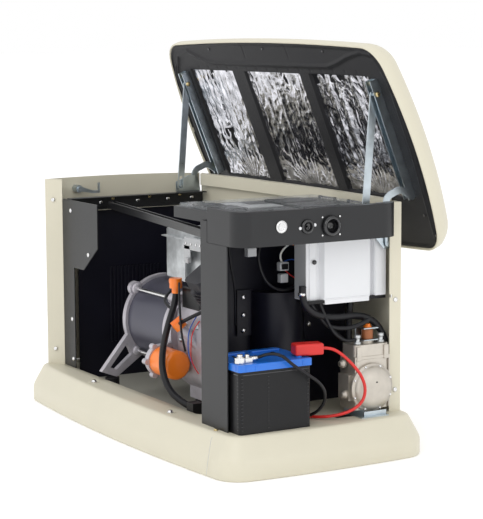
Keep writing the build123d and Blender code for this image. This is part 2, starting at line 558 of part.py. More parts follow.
# ---------------------------------------------------------------- engine
ROD_OFFSET = ROD_CIRCLE * sin(radians(45))
rod_spots = [(SHAFT_Y + a * ROD_OFFSET, SHAFT_Z + b * ROD_OFFSET) for a in (-1, 1) for b in (-1, 1)]
FILTER_Y, FILTER_Z = -172, 199
SEAT_X = 14              # left face of the oil filter seat
filler_plane = Plane(origin=(124, -128, 262), x_dir=(0, 0, 1), z_dir=(-0.35, -0.55, 0.76))
with BuildPart() as crankcase:
    with BuildSketch(facing_x(25, SHAFT_Y, SHAFT_Z - 20)):
        RectangleRounded(210, 250, 60)
    extrude(amount=237)
    fillet(crankcase.faces().filter_by(Axis.X).edges(), 14)
    block((40, 215), (SHAFT_Y - 70, SHAFT_Y + 70), (PAN_HEIGHT + 34, SHAFT_Z - 130))
    # bell housing that the alternator bolts to
    rod(facing_x(CAN_RIGHT + FACE_GAP, SHAFT_Y, SHAFT_Z), CAN_RADIUS + 6, 50)
    for y, z in rod_spots:
        rod(facing_x(CAN_RIGHT + FACE_GAP, y, z), 16, 46)
    # oil filter seat
    rod(facing_x(SEAT_X, FILTER_Y, FILTER_Z), 43, 19.7)
    block((SEAT_X + 2, SEAT_X + 19), (FILTER_Y, SHAFT_Y - 90), (FILTER_Z - 20, FILTER_Z + 26))
    for turn in range(0, 360, 60):
        lug_y = FILTER_Y + 44 * cos(radians(turn))
        lug_z = FILTER_Z + 44 * sin(radians(turn))
        rod(facing_x(SEAT_X, lug_y, lug_z), 8, 19)
    # oil filler neck
    rod(filler_plane.offset(-30), 13, 74)
    rod(filler_plane, 17, 12)
    # hollows last: shaft passage, fan chamber and the through-rod holes
    rod(facing_x(0, SHAFT_Y, SHAFT_Z), 26, 270, mode=Mode.SUBTRACT)
    rod(facing_x(CAN_RIGHT, SHAFT_Y, SHAFT_Z), CAN_RADIUS - 12, 36, mode=Mode.SUBTRACT)
    for y, z in rod_spots:
        rod(facing_x(CAN_RIGHT, y, z), 5 + FACE_GAP, 30, mode=Mode.SUBTRACT)
with BuildPart() as oil_filter:
    rod(facing_x(SEAT_X + 20, FILTER_Y, FILTER_Z), 39, 89)
    fillet(oil_filter.faces().sort_by(Axis.X)[-1].edges(), 12)

CYLINDER_TILT = 36
with BuildPart() as cylinders:
    for side, x in ((1, 232), (-1, 135)):
        tilt = radians(CYLINDER_TILT)
        normal = (0, -side * sin(tilt), cos(tilt))
        for fin in range(7):
            reach = 128 + fin * 11
            fin_plane = Plane(origin=(x, SHAFT_Y + normal[1] * reach, SHAFT_Z + normal[2] * reach),
                              x_dir=(1, 0, 0), z_dir=normal)
            with BuildSketch(fin_plane):
                RectangleRounded(92, 88, 16)
            extrude(amount=4)
        core = Plane(origin=(x, SHAFT_Y + normal[1] * 124.5, SHAFT_Z + normal[2] * 124.5), x_dir=(1, 0, 0), z_dir=normal)
        with BuildSketch(core):
            Circle(38)
        extrude(amount=83)
with BuildPart() as rocker_covers:
    for side, x in ((1, 232), (-1, 135)):
        tilt = radians(CYLINDER_TILT)
        normal = (0, -side * sin(tilt), cos(tilt))
        seat = Plane(origin=(x, SHAFT_Y + normal[1] * 208.5, SHAFT_Z + normal[2] * 208.5), x_dir=(1, 0, 0), z_dir=normal)
        with BuildSketch(seat):
            RectangleRounded(88, 78, 18)
        extrude(amount=26)
with BuildPart() as oil_cap:
    cap_plane = filler_plane.offset(44 + FACE_GAP)
    rod(cap_plane, 17, 20)
    with BuildSketch(cap_plane.offset(20)):
        Rectangle(30, 8)
    extrude(amount=10)
with BuildPart() as air_intake:
    block((100, 178), (-70, 10), (SHAFT_Z + 158, SHAFT_Z + 210))
    rod(facing_x(177, 0, SHAFT_Z + 232), 20, PARTITION_X - SHEET - 177.5)
    block((150, 178), (-24, 24), (SHAFT_Z + 200, SHAFT_Z + 256))

# ---------------------------------------------------------------- alternator
with BuildPart() as alternator_can:
    rod(facing_x(CAN_LEFT, SHAFT_Y, SHAFT_Z), CAN_RADIUS, CAN_RIGHT - CAN_LEFT)
    rod(facing_x(CAN_LEFT - 1, SHAFT_Y, SHAFT_Z), CAN_RADIUS - 4, CAN_RIGHT - CAN_LEFT + 2, mode=Mode.SUBTRACT)
with BuildPart() as stator:
    rod(facing_x(CAN_LEFT + 30, SHAFT_Y, SHAFT_Z), CAN_RADIUS - 4 - FACE_GAP, 150)
    rod(facing_x(CAN_LEFT + 29, SHAFT_Y, SHAFT_Z), 66, 152, mode=Mode.SUBTRACT)
with BuildPart() as rotor_shaft:
    rod(facing_x(CAN_LEFT + 34, SHAFT_Y, SHAFT_Z), 62, 142)
    rod(facing_x(CAN_LEFT - 30, SHAFT_Y, SHAFT_Z), 14.95, 262)
    rod(facing_x(CAN_LEFT + 232, SHAFT_Y, SHAFT_Z), 20, 220)
with BuildPart() as cooling_fan:
    rod(facing_x(CAN_RIGHT - 26, SHAFT_Y, SHAFT_Z), 40, 20)
    for blade in range(9):
        spoke = Plane(origin=(CAN_RIGHT - 16, SHAFT_Y, SHAFT_Z), x_dir=(1, 0, 0),
                      z_dir=(0, cos(radians(40 * blade)), sin(radians(40 * blade))))
        with BuildSketch(spoke):
            Rectangle(16, 5)
        extrude(amount=98)
    rod(facing_x(CAN_RIGHT - 30, SHAFT_Y, SHAFT_Z), 15, 60, mode=Mode.SUBTRACT)

FOOT_TIP = (-222, 128)
with BuildPart() as alternator_end_frame:
    end_plane = facing_x(CAN_LEFT - FACE_GAP - END_FRAME_THICK, 0, 0)
    with BuildSketch(end_plane):
        with Locations((SHAFT_Y, SHAFT_Z)):
            Circle(CAN_RADIUS + 8)
        with Locations(*rod_spots):
            Circle(20)
        with BuildLine():
            Polyline((-130, 240), FOOT_TIP, (-176, 110), (-78, 178), close=True)
        make_face()
        with BuildLine():
            Polyline((2 * SHAFT_Y + 130, 240), (2 * SHAFT_Y - FOOT_TIP[0], 128), (2 * SHAFT_Y + 176, 110),
                     (2 * SHAFT_Y + 78, 178), close=True)
        make_face()
        with Locations((SHAFT_Y, SHAFT_Z)):
            Circle(CAN_RADIUS - 14, mode=Mode.SUBTRACT)
    extrude(amount=END_FRAME_THICK)
    with BuildSketch(end_plane):
        with Locations((SHAFT_Y, SHAFT_Z)):
            Circle(34)
            for angle in (0, 60, 120):
                Rectangle(2 * CAN_RADIUS - 18, 16, rotation=angle)
            Circle(15, mode=Mode.SUBTRACT)
    extrude(amount=END_FRAME_THICK - 4)
    with BuildSketch(end_plane):
        with BuildLine():
            Polyline((-143, 202), (-196, 138), (-176, 131), (-128, 170), close=True)
        make_face()
        with BuildLine():
            Polyline((2 * SHAFT_Y + 143, 202), (2 * SHAFT_Y + 196, 138), (2 * SHAFT_Y + 176, 131),
                     (2 * SHAFT_Y + 128, 170), close=True)
        make_face()
    extrude(amount=END_FRAME_THICK, mode=Mode.SUBTRACT)
    for y, z in rod_spots:
        rod(facing_x(CAN_LEFT - 30, y, z), 5 + FACE_GAP, 40, mode=Mode.SUBTRACT)
with BuildPart() as alternator_rods:
    for y, z in rod_spots:
        rod(facing_x(CAN_LEFT - 24, y, z), 5, 262)
        rod(facing_x(CAN_LEFT - 26, y, z), 10, 7)
with BuildPart() as rubber_mounts:
    mount_top = 109
    for x, y in ((CAN_LEFT - 9, -186), (CAN_LEFT - 9, 2 * SHAFT_Y + 186)):
        rod(facing_up(x, y, PAN_HEIGHT), 20, mount_top - PAN_HEIGHT)
    for x, y in ((70, SHAFT_Y - 50), (70, SHAFT_Y + 50), (185, SHAFT_Y - 50), (185, SHAFT_Y + 50)):
        rod(facing_up(x, y, PAN_HEIGHT), 18, 34)
    block((228, 262), (-205, -174), (PAN_HEIGHT, 126))

# ---------------------------------------------------------------- electrical box and drain hose
BOX_X = (-150, 84)
BOX_Y = (-60, 70)
BOX_Z = (398, 532)
with BuildPart() as electrical_box:
    block(BOX_X, BOX_Y, BOX_Z)
    fillet(electrical_box.edges().filter_by(Axis.Y), 6)
    block((BOX_X[0], BOX_X[1]), (BOX_Y[0] - 16, BOX_Y[0]), (BOX_Z[1] - 22, BOX_Z[1] - 19))
    block((-90, -70), (BOX_Y[1] - 1, 232), (BOX_Z[0] + 30, BOX_Z[0] + 60))
    with BuildSketch(facing_front(0, BOX_Y[0] - 14, 0)):
        with BuildLine():
            Polyline((0, 522), (84, 522), (84, 500), (22, 500), (-12, 468), (-12, 398), (-60, 398),
                     (-60, 470), close=True)
        make_face()
    extrude(amount=SHEET)
DRAIN_X, DRAIN_Y = 37, -132
with BuildPart() as drain_cap:
    rod(facing_up(DRAIN_X, DRAIN_Y, 392), 17, 26)
    rod(facing_up(DRAIN_X, DRAIN_Y, 378), 11, 14)
    rod(facing_up(DRAIN_X - 20, DRAIN_Y, 403), 9, 10)
DRAIN_RADIUS = 9
drain_route = [(37, -132, 376.5), (38, -136, 350), (46, -154, 316), (74, -182, 280), (118, -216, 244),
               (144, -232, 198), (166, -226, 152), (192, -206, 122), (222, -190, 110)]
oil_drain_hose = cord_tube("oil_drain_hose", drain_route, DRAIN_RADIUS)

# ---------------------------------------------------------------- lid
shoulder_w = rim_w + LID_SHOULDER_RISE
crown_inset = 74
inner_length = LID_LENGTH - 2 * LID_WALL
inner_width = LID_WIDTH - 2 * LID_WALL
inner_corner = LID_CORNER - LID_WALL
with BuildPart() as lid_shell:
    bowed_outline(LID.offset(rim_w), LID_LENGTH, LID_WIDTH, LID_BOW_X, LID_BOW_Y, LID_CORNER, lid_centre_v)
    extrude(amount=shoulder_w - rim_w, dir=LID.z_dir)
    bowed_outline(LID.offset(shoulder_w), LID_LENGTH, LID_WIDTH, LID_BOW_X, LID_BOW_Y, LID_CORNER, lid_centre_v)
    bowed_outline(LID.offset(top_w), LID_LENGTH - crown_inset, LID_WIDTH - crown_inset, LID_BOW_X, LID_BOW_Y,
                  LID_CORNER - 20, lid_centre_v)
    loft()
    bowed_outline(LID.offset(rim_w), inner_length, inner_width, LID_BOW_X, LID_BOW_Y, inner_corner, lid_centre_v)
    extrude(amount=shoulder_w - rim_w, dir=LID.z_dir, mode=Mode.SUBTRACT)
    bowed_outline(LID.offset(shoulder_w), inner_length, inner_width, LID_BOW_X, LID_BOW_Y, inner_corner, lid_centre_v)
    bowed_outline(LID.offset(top_w - LID_WALL), inner_length - crown_inset, inner_width - crown_inset,
                  LID_BOW_X, LID_BOW_Y, inner_corner - 20, lid_centre_v)
    loft(mode=Mode.SUBTRACT)

LINER_THICK = 4
foil_w = liner_w + 8
WINDOW_V = (-402, -67)
windows = [(-457, -216), (-144, 142), (193, 464)]
with BuildPart() as lid_liner:
    bowed_outline(LID.offset(liner_w), inner_length - 2 * FACE_GAP, inner_width - 2 * FACE_GAP,
                  LID_BOW_X, LID_BOW_Y, inner_corner, lid_centre_v)
    extrude(amount=LINER_THICK, dir=LID.z_dir)
    with Locations(LID):
        for low, high in windows:
            block((low - 2, high + 2), (WINDOW_V[0] - 2, WINDOW_V[1] + 2), (liner_w + 1, foil_w - 0.5))
        for low, high in windows:
            block((low, high), WINDOW_V, (liner_w - 1, foil_w + 1), mode=Mode.SUBTRACT)
with BuildPart() as foil_pads:
    with Locations(LID):
        for low, high in windows:
            block((low - 8, high + 8), (WINDOW_V[0] - 8, WINDOW_V[1] + 8), (foil_w, top_w - LID_WALL - FACE_GAP))

PLATE_HOLE = PIN_RADIUS + PIN_CLEARANCE
ARM_HALF = 9
channel_v = (-398, -74)


def side_plane(x):
    """The lid's own length-and-height plane at a given x, as (v, w) coordinates."""
    return Plane(origin=(x, HINGE_Y, HINGE_Z), x_dir=(0, cos(open_angle), -sin(open_angle)), z_dir=(1, 0, 0))


goose_neck = [(0, 0), (-112, 36), (-112, 84), (-80, channel_top_w - ARM_HALF - 1)]
# Each arm is a channel on the liner, the goose-neck down to the lid's pivot, and the strut's pin.
with BuildPart() as lid_arms:
    for side in (-1, 1):
        plate = side_plane(side * ARM_X - ARM_THICK / 2)
        with BuildSketch(plate):
            with BuildLine():
                FilletPolyline(*goose_neck, radius=24)
            trace(line_width=2 * ARM_HALF)
            with Locations(goose_neck[0], goose_neck[-1]):
                Circle(ARM_HALF)
            Circle(PLATE_HOLE, mode=Mode.SUBTRACT)
        extrude(amount=ARM_THICK)
        inner_x = side * (STRUT_X - 9)
        outer_x = side * (ARM_X + ARM_THICK / 2)
        spans = sorted((inner_x, outer_x))
        channel_w = (channel_top_w - channel_deep, channel_top_w)
        with Locations(LID):
            block(spans, channel_v, (channel_top_w - SHEET, channel_top_w))
            block(sorted((outer_x, outer_x - side * ARM_THICK)), channel_v, channel_w)
            block(sorted((inner_x, inner_x + side * SHEET)), channel_v, channel_w)
        with BuildSketch(side_plane(min(side * (STRUT_X - 11), side * (ARM_X + 5)))):
            with Locations((pivot_v, pivot_w)):
                Circle(PIN_RADIUS)
        extrude(amount=ARM_X + 5 - STRUT_X + 11)

# Strut: its own plane has X running down the strut from the upper pin.
slot_end = strut_length + 1
slot_start = strut_shortest - 3


def strut(side):
    """Prop bar with a round hole at the lid and a long slot over the foot pin."""
    with BuildPart() as bar:
        plane = Plane(origin=(side * STRUT_X - STRUT_THICK / 2, upper_y, upper_z),
                      x_dir=(0, cos(strut_angle), sin(strut_angle)), z_dir=(1, 0, 0))
        with BuildSketch(plane):
            with Locations((slot_end / 2, 0)):
                SlotCenterToCenter(slot_end, 2 * STRUT_HALF)
            Circle(PLATE_HOLE, mode=Mode.SUBTRACT)
            with Locations(((slot_start + slot_end) / 2, 0)):
                SlotCenterToCenter(slot_end - slot_start, 2 * FOOT_SLOT_HALF, mode=Mode.SUBTRACT)
        extrude(amount=STRUT_THICK)
    return bar


left_strut = strut(-1)
right_strut = strut(1)

with BuildPart() as hinge_brackets:
    for side in (-1, 1):
        with BuildSketch(facing_x(side * BRACKET_X - BRACKET_THICK / 2, 0, 0)):
            with BuildLine():
                Polyline((foot_y - 12, foot_z - 14), (HINGE_Y - 10, HINGE_Z - 14), (HINGE_Y + 8, HINGE_Z - 14),
                         (HINGE_Y + 8, 600), (228, 640), (foot_y + 30, 640), (foot_y - 12, foot_z + 12), close=True)
            make_face()
        extrude(amount=BRACKET_THICK)
        for y, z, radius, near, far in ((HINGE_Y, HINGE_Z, PIN_RADIUS, BRACKET_X - 3, ARM_X + 3.5),
                                        (foot_y, foot_z, FOOT_PIN_RADIUS, STRUT_X - 5, BRACKET_X + 3)):
            start = min(side * near, side * far)
            rod(facing_x(start, y, z), radius, far - near)
    # lug that carries the left bracket on the side rail
    block((-BRACKET_X, RAIL_X - SHEET - PIN_CLEARANCE), (215, 235), (560, 575))

# ---------------------------------------------------------------- lid latch
with BuildPart() as latch_body:
    rod(facing_x(-574, LATCH_Y, LATCH_Z), LATCH_RADIUS, 30)
    rod(facing_x(-575, LATCH_Y, LATCH_Z), 6 + PIN_CLEARANCE, 40, mode=Mode.SUBTRACT)
with BuildPart() as latch_hook:
    rod(facing_x(-572, LATCH_Y, LATCH_Z), 6, 34)
    with BuildSketch(facing_x(-543, 0, 0)):
        with BuildLine():
            Polyline((LATCH_Y - 6, LATCH_Z - 6), (LATCH_Y + 40, LATCH_Z - 14), (LATCH_Y + 64, LATCH_Z - 14),
                     (LATCH_Y + 64, LATCH_Z + 16), (LATCH_Y + 58, LATCH_Z + 16), (LATCH_Y + 58, LATCH_Z - 6),
                     (LATCH_Y + 40, LATCH_Z - 6), (LATCH_Y + 4, LATCH_Z + 7), close=True)
        make_face()
    extrude(amount=4)

# ---------------------------------------------------------------- screws
frame_screws = [facing_x(RAIL_X, y, 576) for y in (-164, -100, 20, 120, 200)]
post_screws = [facing_x(POST_X, POST_Y - 17, z) for z in (160, 392)]
front_screws = [facing_front(-342, UPRIGHT_Y - SHEET, 444), facing_front(-456, UPRIGHT_Y - SHEET, 246)]
deck_screws = [facing_up(x, y, DECK_HEIGHT - 3) for x, y in ledge_pockets]
with BuildPart() as screws:
    for plane in frame_screws + post_screws + front_screws + deck_screws:
        rod(plane.offset(0.05), SCREW_HEAD_RADIUS, 4)

pieces = {
    "base_frame": base_frame, "floor_pan": floor_pan, "left_end_panel": left_end_panel,
    "rear_panel": rear_panel, "right_rear_post": right_rear_post, "left_upright": left_upright,
    "top_rail": top_rail, "front_brace": front_brace, "centre_post": centre_post,
    "partition_wall": partition_wall, "inner_baffle": inner_baffle, "control_band": control_band,
    "control_shelf": control_shelf, "clear_cover": clear_cover,
    "main_breaker": main_breaker, "breaker_toggle": breaker_toggle, "panel_outlets": panel_outlets,
    "lock_body": lock_body, "lock_barrel": lock_barrel,
    "controller_module": controller_module,
    "battery_case": battery_case, "battery_lid": battery_lid,
    "negative_clamp": negative_clamp, "positive_boot": positive_boot,
    "negative_cable": negative_cable, "positive_cable": positive_cable,
    "regulator_bracket": regulator_bracket, "regulator_body": regulator_body,
    "regulator_dome": regulator_dome, "gas_solenoid": gas_solenoid, "gas_hose": gas_hose,
    "vent_hose": vent_hose, "muffler_shield": muffler_shield, "muffler": muffler,
    "crankcase": crankcase, "oil_filter": oil_filter,
    "cylinders": cylinders, "rocker_covers": rocker_covers,
    "oil_cap": oil_cap, "air_intake": air_intake, "alternator_can": alternator_can,
    "stator": stator, "rotor_shaft": rotor_shaft, "cooling_fan": cooling_fan,
    "alternator_end_frame": alternator_end_frame, "alternator_rods": alternator_rods,
    "rubber_mounts": rubber_mounts,
    "electrical_box": electrical_box, "drain_cap": drain_cap,
    "oil_drain_hose": oil_drain_hose, "lid_shell": lid_shell,
    "lid_liner": lid_liner, "foil_pads": foil_pads,
    "lid_arms": lid_arms, "left_strut": left_strut,
    "right_strut": right_strut, "hinge_brackets": hinge_brackets,
    "latch_body": latch_body, "latch_hook": latch_hook, "screws": screws,
}
for name, piece in pieces.items():
    piece.part.label = name
    export_step(piece.part, f"parts/{name}.step")
print(len(pieces), "nodes")
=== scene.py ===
# %% [markdown]
# # A home standby generator with its lid propped open
# Frame: +X is the control and battery end, -Y the open front, +Z up, in metres.
# The CAD model gives every working part; here each gets its finish, and the soft,
# crinkled and wired parts are drawn as surfaces on top of it.

# %% Load the frame
import bmesh
import bpy
import numpy as np
from math import cos, pi, radians, sin
from mathutils import Matrix, Vector


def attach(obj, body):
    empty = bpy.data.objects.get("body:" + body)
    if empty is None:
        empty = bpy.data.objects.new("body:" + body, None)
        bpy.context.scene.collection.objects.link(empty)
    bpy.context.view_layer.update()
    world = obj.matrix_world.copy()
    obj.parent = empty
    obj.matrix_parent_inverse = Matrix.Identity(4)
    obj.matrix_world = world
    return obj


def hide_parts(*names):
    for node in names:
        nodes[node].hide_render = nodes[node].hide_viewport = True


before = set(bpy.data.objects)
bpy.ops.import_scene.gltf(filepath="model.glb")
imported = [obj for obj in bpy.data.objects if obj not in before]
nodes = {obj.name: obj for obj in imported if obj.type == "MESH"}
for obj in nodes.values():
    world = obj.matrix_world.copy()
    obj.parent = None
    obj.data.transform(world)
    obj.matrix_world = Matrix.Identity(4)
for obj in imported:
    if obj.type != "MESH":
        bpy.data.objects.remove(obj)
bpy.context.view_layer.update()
rng = np.random.default_rng(7)
print("CAD nodes:", len(nodes))

# %% [markdown]
# ## Step 1. Camera and light
# One long lens looks at the battery corner from a little above. The lights are big and
# soft, and the surroundings and the floor are white.

# %% Camera, lights and floor
AZIMUTH, ELEVATION, ROLL = radians(59.96), radians(7.42), radians(-0.27)
back = Vector((sin(AZIMUTH) * cos(ELEVATION), -cos(AZIMUTH) * cos(ELEVATION), sin(ELEVATION)))
side = Vector((cos(AZIMUTH), sin(AZIMUTH), 0))
up = back.cross(side)
turned_side = cos(ROLL) * side + sin(ROLL) * up
turned_up = -sin(ROLL) * side + cos(ROLL) * up
camera_data = bpy.data.cameras.new("camera")
camera_data.sensor_width = 36
camera_data.lens = 124.87
camera_data.clip_end = 100
camera = bpy.data.objects.new("camera", camera_data)
turn = Matrix((turned_side, turned_up, back)).transposed().to_4x4()
camera.matrix_world = Matrix.Translation((4.22306, -2.35066, 1.08366)) @ turn
bpy.context.collection.objects.link(camera)
bpy.context.scene.camera = camera


def area_light(name, place, target, size, power, colour=(1, 1, 1)):
    """A square soft light at place that faces target."""
    data = bpy.data.lights.new(name, "AREA")
    data.shape = "SQUARE"
    data.size = size
    data.energy = power
    data.color = colour
    light = bpy.data.objects.new(name, data)
    light.matrix_world = Matrix.Translation(place) @ (Vector(target) - Vector(place)).to_track_quat("-Z",
            "Y").to_matrix().to_4x4()
    bpy.context.collection.objects.link(light)


area_light("key", (3.2, -3.4, 3.2), (0.1, -0.1, 0.45), 2.2, 38)
area_light("front_fill", (-1.4, -4.2, 1.8), (-0.1, 0, 0.35), 2.6, 14)
area_light("end_fill", (4.4, 1.0, 1.5), (0.4, 0, 0.35), 2.0, 14)
area_light("top", (0, -0.4, 4.2), (0, 0, 0.4), 3.0, 14)
world = bpy.data.worlds.new("studio")
bpy.context.scene.world = world
world.use_nodes = True
world.node_tree.nodes["Background"].inputs["Color"].default_value = (1, 1, 1, 1)
world.node_tree.nodes["Background"].inputs["Strength"].default_value = 1.0
bpy.context.scene.view_settings.view_transform = "Standard"

floor_mesh = bpy.data.meshes.new("floor")
floor_mesh.from_pydata([(-60, -60, 0), (60, -60, 0), (60, 60, 0), (-60, 60, 0)], [], [(0, 1, 2, 3)])
floor = bpy.data.objects.new("floor", floor_mesh)
bpy.context.collection.objects.link(floor)
print("lens", round(camera_data.lens, 1), "mm")

# %% [markdown]
# ## Step 2. Finishes
# Every finish is one Principled shader: a base colour, a slow mottle over it, and a fine
# grain that only bends the light.

# %% Finishes
FINISHES = {}


def finish(name, colour, rough=0.5, metal=0.0, mottle=0.05, mottle_scale=7, grain=0.0, grain_scale=900,
           coat=0.0, alpha=1.0, stretch=(1, 1, 1), gloss=0.5, glow=0.0):
    """A procedural finish in Object coordinates: colour times a soft noise, plus grain as bump."""
    made = bpy.data.materials.new(name)
    made.use_nodes = True
    tree = made.node_tree
    shader = tree.nodes["Principled BSDF"]
    shader.inputs["Metallic"].default_value = metal
    shader.inputs["Coat Weight"].default_value = coat
    shader.inputs["Coat Roughness"].default_value = 0.12
    shader.inputs["Alpha"].default_value = alpha
    shader.inputs["Specular IOR Level"].default_value = gloss
    shader.inputs["Emission Color"].default_value = (*colour, 1)
    shader.inputs["Emission Strength"].default_value = glow
    where = tree.nodes.new("ShaderNodeTexCoord")
    scale = tree.nodes.new("ShaderNodeMapping")
    scale.inputs["Scale"].default_value = stretch
    tree.links.new(where.outputs["Object"], scale.inputs["Vector"])
    cloud = tree.nodes.new("ShaderNodeTexNoise")
    cloud.inputs["Scale"].default_value = mottle_scale
    cloud.inputs["Detail"].default_value = 5
    tree.links.new(scale.outputs["Vector"], cloud.inputs["Vector"])
    ramp = tree.nodes.new("ShaderNodeValToRGB")
    ramp.color_ramp.elements[0].position = 0.3
    ramp.color_ramp.elements[1].position = 0.7
    ramp.color_ramp.elements[0].color = [c * (1 - mottle) for c in colour] + [1]
    ramp.color_ramp.elements[1].color = [min(1, c * (1 + mottle)) for c in colour] + [1]
    tree.links.new(cloud.outputs["Fac"], ramp.inputs["Fac"])
    tree.links.new(ramp.outputs["Color"], shader.inputs["Base Color"])
    spread = tree.nodes.new("ShaderNodeMapRange")
    spread.inputs["To Min"].default_value = max(0.02, rough - 0.06)
    spread.inputs["To Max"].default_value = min(1, rough + 0.06)
    tree.links.new(cloud.outputs["Fac"], spread.inputs["Value"])
    tree.links.new(spread.outputs["Result"], shader.inputs["Roughness"])
    if grain:
        fine = tree.nodes.new("ShaderNodeTexNoise")
        fine.inputs["Scale"].default_value = grain_scale
        fine.inputs["Detail"].default_value = 2
        tree.links.new(scale.outputs["Vector"], fine.inputs["Vector"])
        bump = tree.nodes.new("ShaderNodeBump")
        bump.inputs["Strength"].default_value = grain
        bump.inputs["Distance"].default_value = 0.001
        tree.links.new(fine.outputs["Fac"], bump.inputs["Height"])
        tree.links.new(bump.outputs["Normal"], shader.inputs["Normal"])
    FINISHES[name] = made
    return made


finish("cream_paint", (0.63, 0.595, 0.475), 0.42, mottle=0.02, grain=0.08, grain_scale=1400)
finish("charcoal", (0.010, 0.010, 0.012), 0.5, mottle=0.15, grain=0.5, grain_scale=1100, gloss=0.28)
finish("dark_paint", (0.016, 0.0165, 0.018), 0.34, mottle=0.08, grain=0.12, grain_scale=1300, gloss=0.36)
finish("black_metal", (0.006, 0.006, 0.012), 0.38, mottle=0.2, grain=0.1, grain_scale=1200, gloss=0.3)
finish("grey_can", (0.06, 0.06, 0.085), 0.35, metal=0.3, mottle=0.1)
finish("zinc", (0.50, 0.56, 0.60), 0.3, metal=1.0, mottle=0.14, mottle_scale=30, grain=0.1)
finish("steel_bright", (0.72, 0.72, 0.72), 0.22, metal=1.0, mottle=0.06, mottle_scale=40)
finish("galvanised", (0.55, 0.57, 0.58), 0.4, metal=0.8, mottle=0.18, mottle_scale=45)
finish("cast", (0.50, 0.48, 0.52), 0.5, metal=0.65, mottle=0.12, mottle_scale=24, grain=0.5,
       grain_scale=700)
finish("cast_warm", (0.56, 0.52, 0.46), 0.42, metal=0.75, mottle=0.12, mottle_scale=20, grain=0.4,
       grain_scale=800)
finish("black_rubber", (0.006, 0.006, 0.008), 0.42, mottle=0.2, grain=0.15, grain_scale=700, gloss=0.34)
finish("black_plastic", (0.006, 0.006, 0.007), 0.38, mottle=0.2, grain=0.2, grain_scale=900, gloss=0.3)
finish("black_gloss", (0.006, 0.006, 0.008), 0.12, mottle=0.1, coat=0.6)
finish("battery_blue", (0.012, 0.15, 0.62), 0.3, mottle=0.08, grain=0.1, coat=0.2)
finish("red_plastic", (0.62, 0.022, 0.018), 0.36, mottle=0.08, grain=0.1)
finish("orange", (0.86, 0.20, 0.012), 0.34, mottle=0.06, coat=0.25)
finish("white_satin", (0.72, 0.73, 0.75), 0.36, mottle=0.015)
finish("grey_satin", (0.34, 0.345, 0.35), 0.4, mottle=0.04)
finish("white_plastic", (0.78, 0.78, 0.74), 0.4, mottle=0.03)
finish("pan_grey", (0.40, 0.39, 0.34), 0.45, mottle=0.04)
finish("copper", (0.30, 0.10, 0.035), 0.35, metal=0.3, mottle=0.15)
finish("yellow_chromate", (0.62, 0.50, 0.26), 0.28, metal=1.0, mottle=0.15, mottle_scale=60)
finish("foil", (0.60, 0.60, 0.64), 0.17, metal=1.0, mottle=0.5, mottle_scale=34, grain=0.6, grain_scale=160)
finish("clear", (0.55, 0.58, 0.60), 0.1, mottle=0.02, alpha=0.16)
finish("wire_blue", (0.02, 0.10, 0.45), 0.4)
finish("pale_grey", (0.46, 0.47, 0.48), 0.45, mottle=0.05)
finish("pale_floor", (0.96, 0.96, 0.96), 0.8, mottle=0.004, gloss=0.1, glow=0.16)
floor_mesh.materials.append(FINISHES["pale_floor"])
print("finishes:", len(FINISHES))

# %% The finish of each CAD node
WEARS = {
    "cream_paint": "base_frame left_end_panel rear_panel lid_shell",
    "pan_grey": "floor_pan", "charcoal": "lid_liner",
    "dark_paint": "left_upright top_rail front_brace centre_post control_band control_shelf",
    "black_metal": "partition_wall inner_baffle muffler_shield rocker_covers cylinders",
    "grey_can": "alternator_can", "clear": "clear_cover",
    "black_plastic": "main_breaker battery_case air_intake cooling_fan panel_outlets",
    "steel_bright": "lock_body lock_barrel negative_clamp alternator_rods rotor_shaft",
    "zinc": "regulator_bracket lid_arms left_strut right_strut hinge_brackets latch_body latch_hook",
    "white_plastic": "breaker_toggle", "white_satin": "controller_module", "battery_blue": "battery_lid",
    "red_plastic": "positive_boot positive_cable",
    "black_rubber": "negative_cable gas_hose vent_hose oil_drain_hose rubber_mounts",
    "cast_warm": "regulator_body", "copper": "gas_solenoid stator",
    "galvanised": "muffler electrical_box foil_pads regulator_dome",
    "cast": "crankcase alternator_end_frame", "orange": "oil_filter oil_cap drain_cap",
    "yellow_chromate": "screws",
}
WEARS["cream_paint"] += " right_rear_post"


def wear(obj, name):
    """Give an object one finish in place of whatever it had."""
    obj.data.materials.clear()
    obj.data.materials.append(FINISHES[name])


for name, wearers in WEARS.items():
    for node in wearers.split():
        wear(nodes[node], name)
missing = [node for node in nodes if node not in " ".join(WEARS.values()).split()]
print("nodes without a finish:", missing)

# %% [markdown]
# ## Step 3. Cables and hoses
# Each follows a few control points and is drawn as one smooth NURBS curve.

# %% Cords
NEGATIVE = [(532, -191, 284), (533, -170, 287), (545, -148, 296), (567, -126, 294), (582, -102, 268),
            (583, -62, 242),
            (578, -22, 216), (564, 4, 184), (542, 10, 150), (514, 0, 123), (480, -10, 111)]
POSITIVE = [(541, 9.6, 294), (545, 30, 293), (554, 54, 278), (563, 80, 252), (568, 104, 222),
            (569, 118, 188),
            (565, 114, 154), (554, 88, 130), (532, 52, 117), (502, 22, 111), (468, 4, 110)]
GAS = [(484, -14, 442), (482, -15, 408), (480, 8, 376), (479, 52, 359), (479, 100, 355), (480, 146, 356),
       (482, 188, 345), (484, 218, 318), (486, 234, 282), (486, 236, 242)]
VENT = [(448, 150, 389), (449, 148, 362), (450, 146, 337), (454, 143, 312), (457, 140, 287)]
DRAIN = [(37, -132, 376.5), (38, -136, 350), (46, -154, 316), (74, -182, 280), (118, -216, 244),
         (144, -232, 198), (166, -226, 152), (192, -206, 122), (222, -190, 110)]


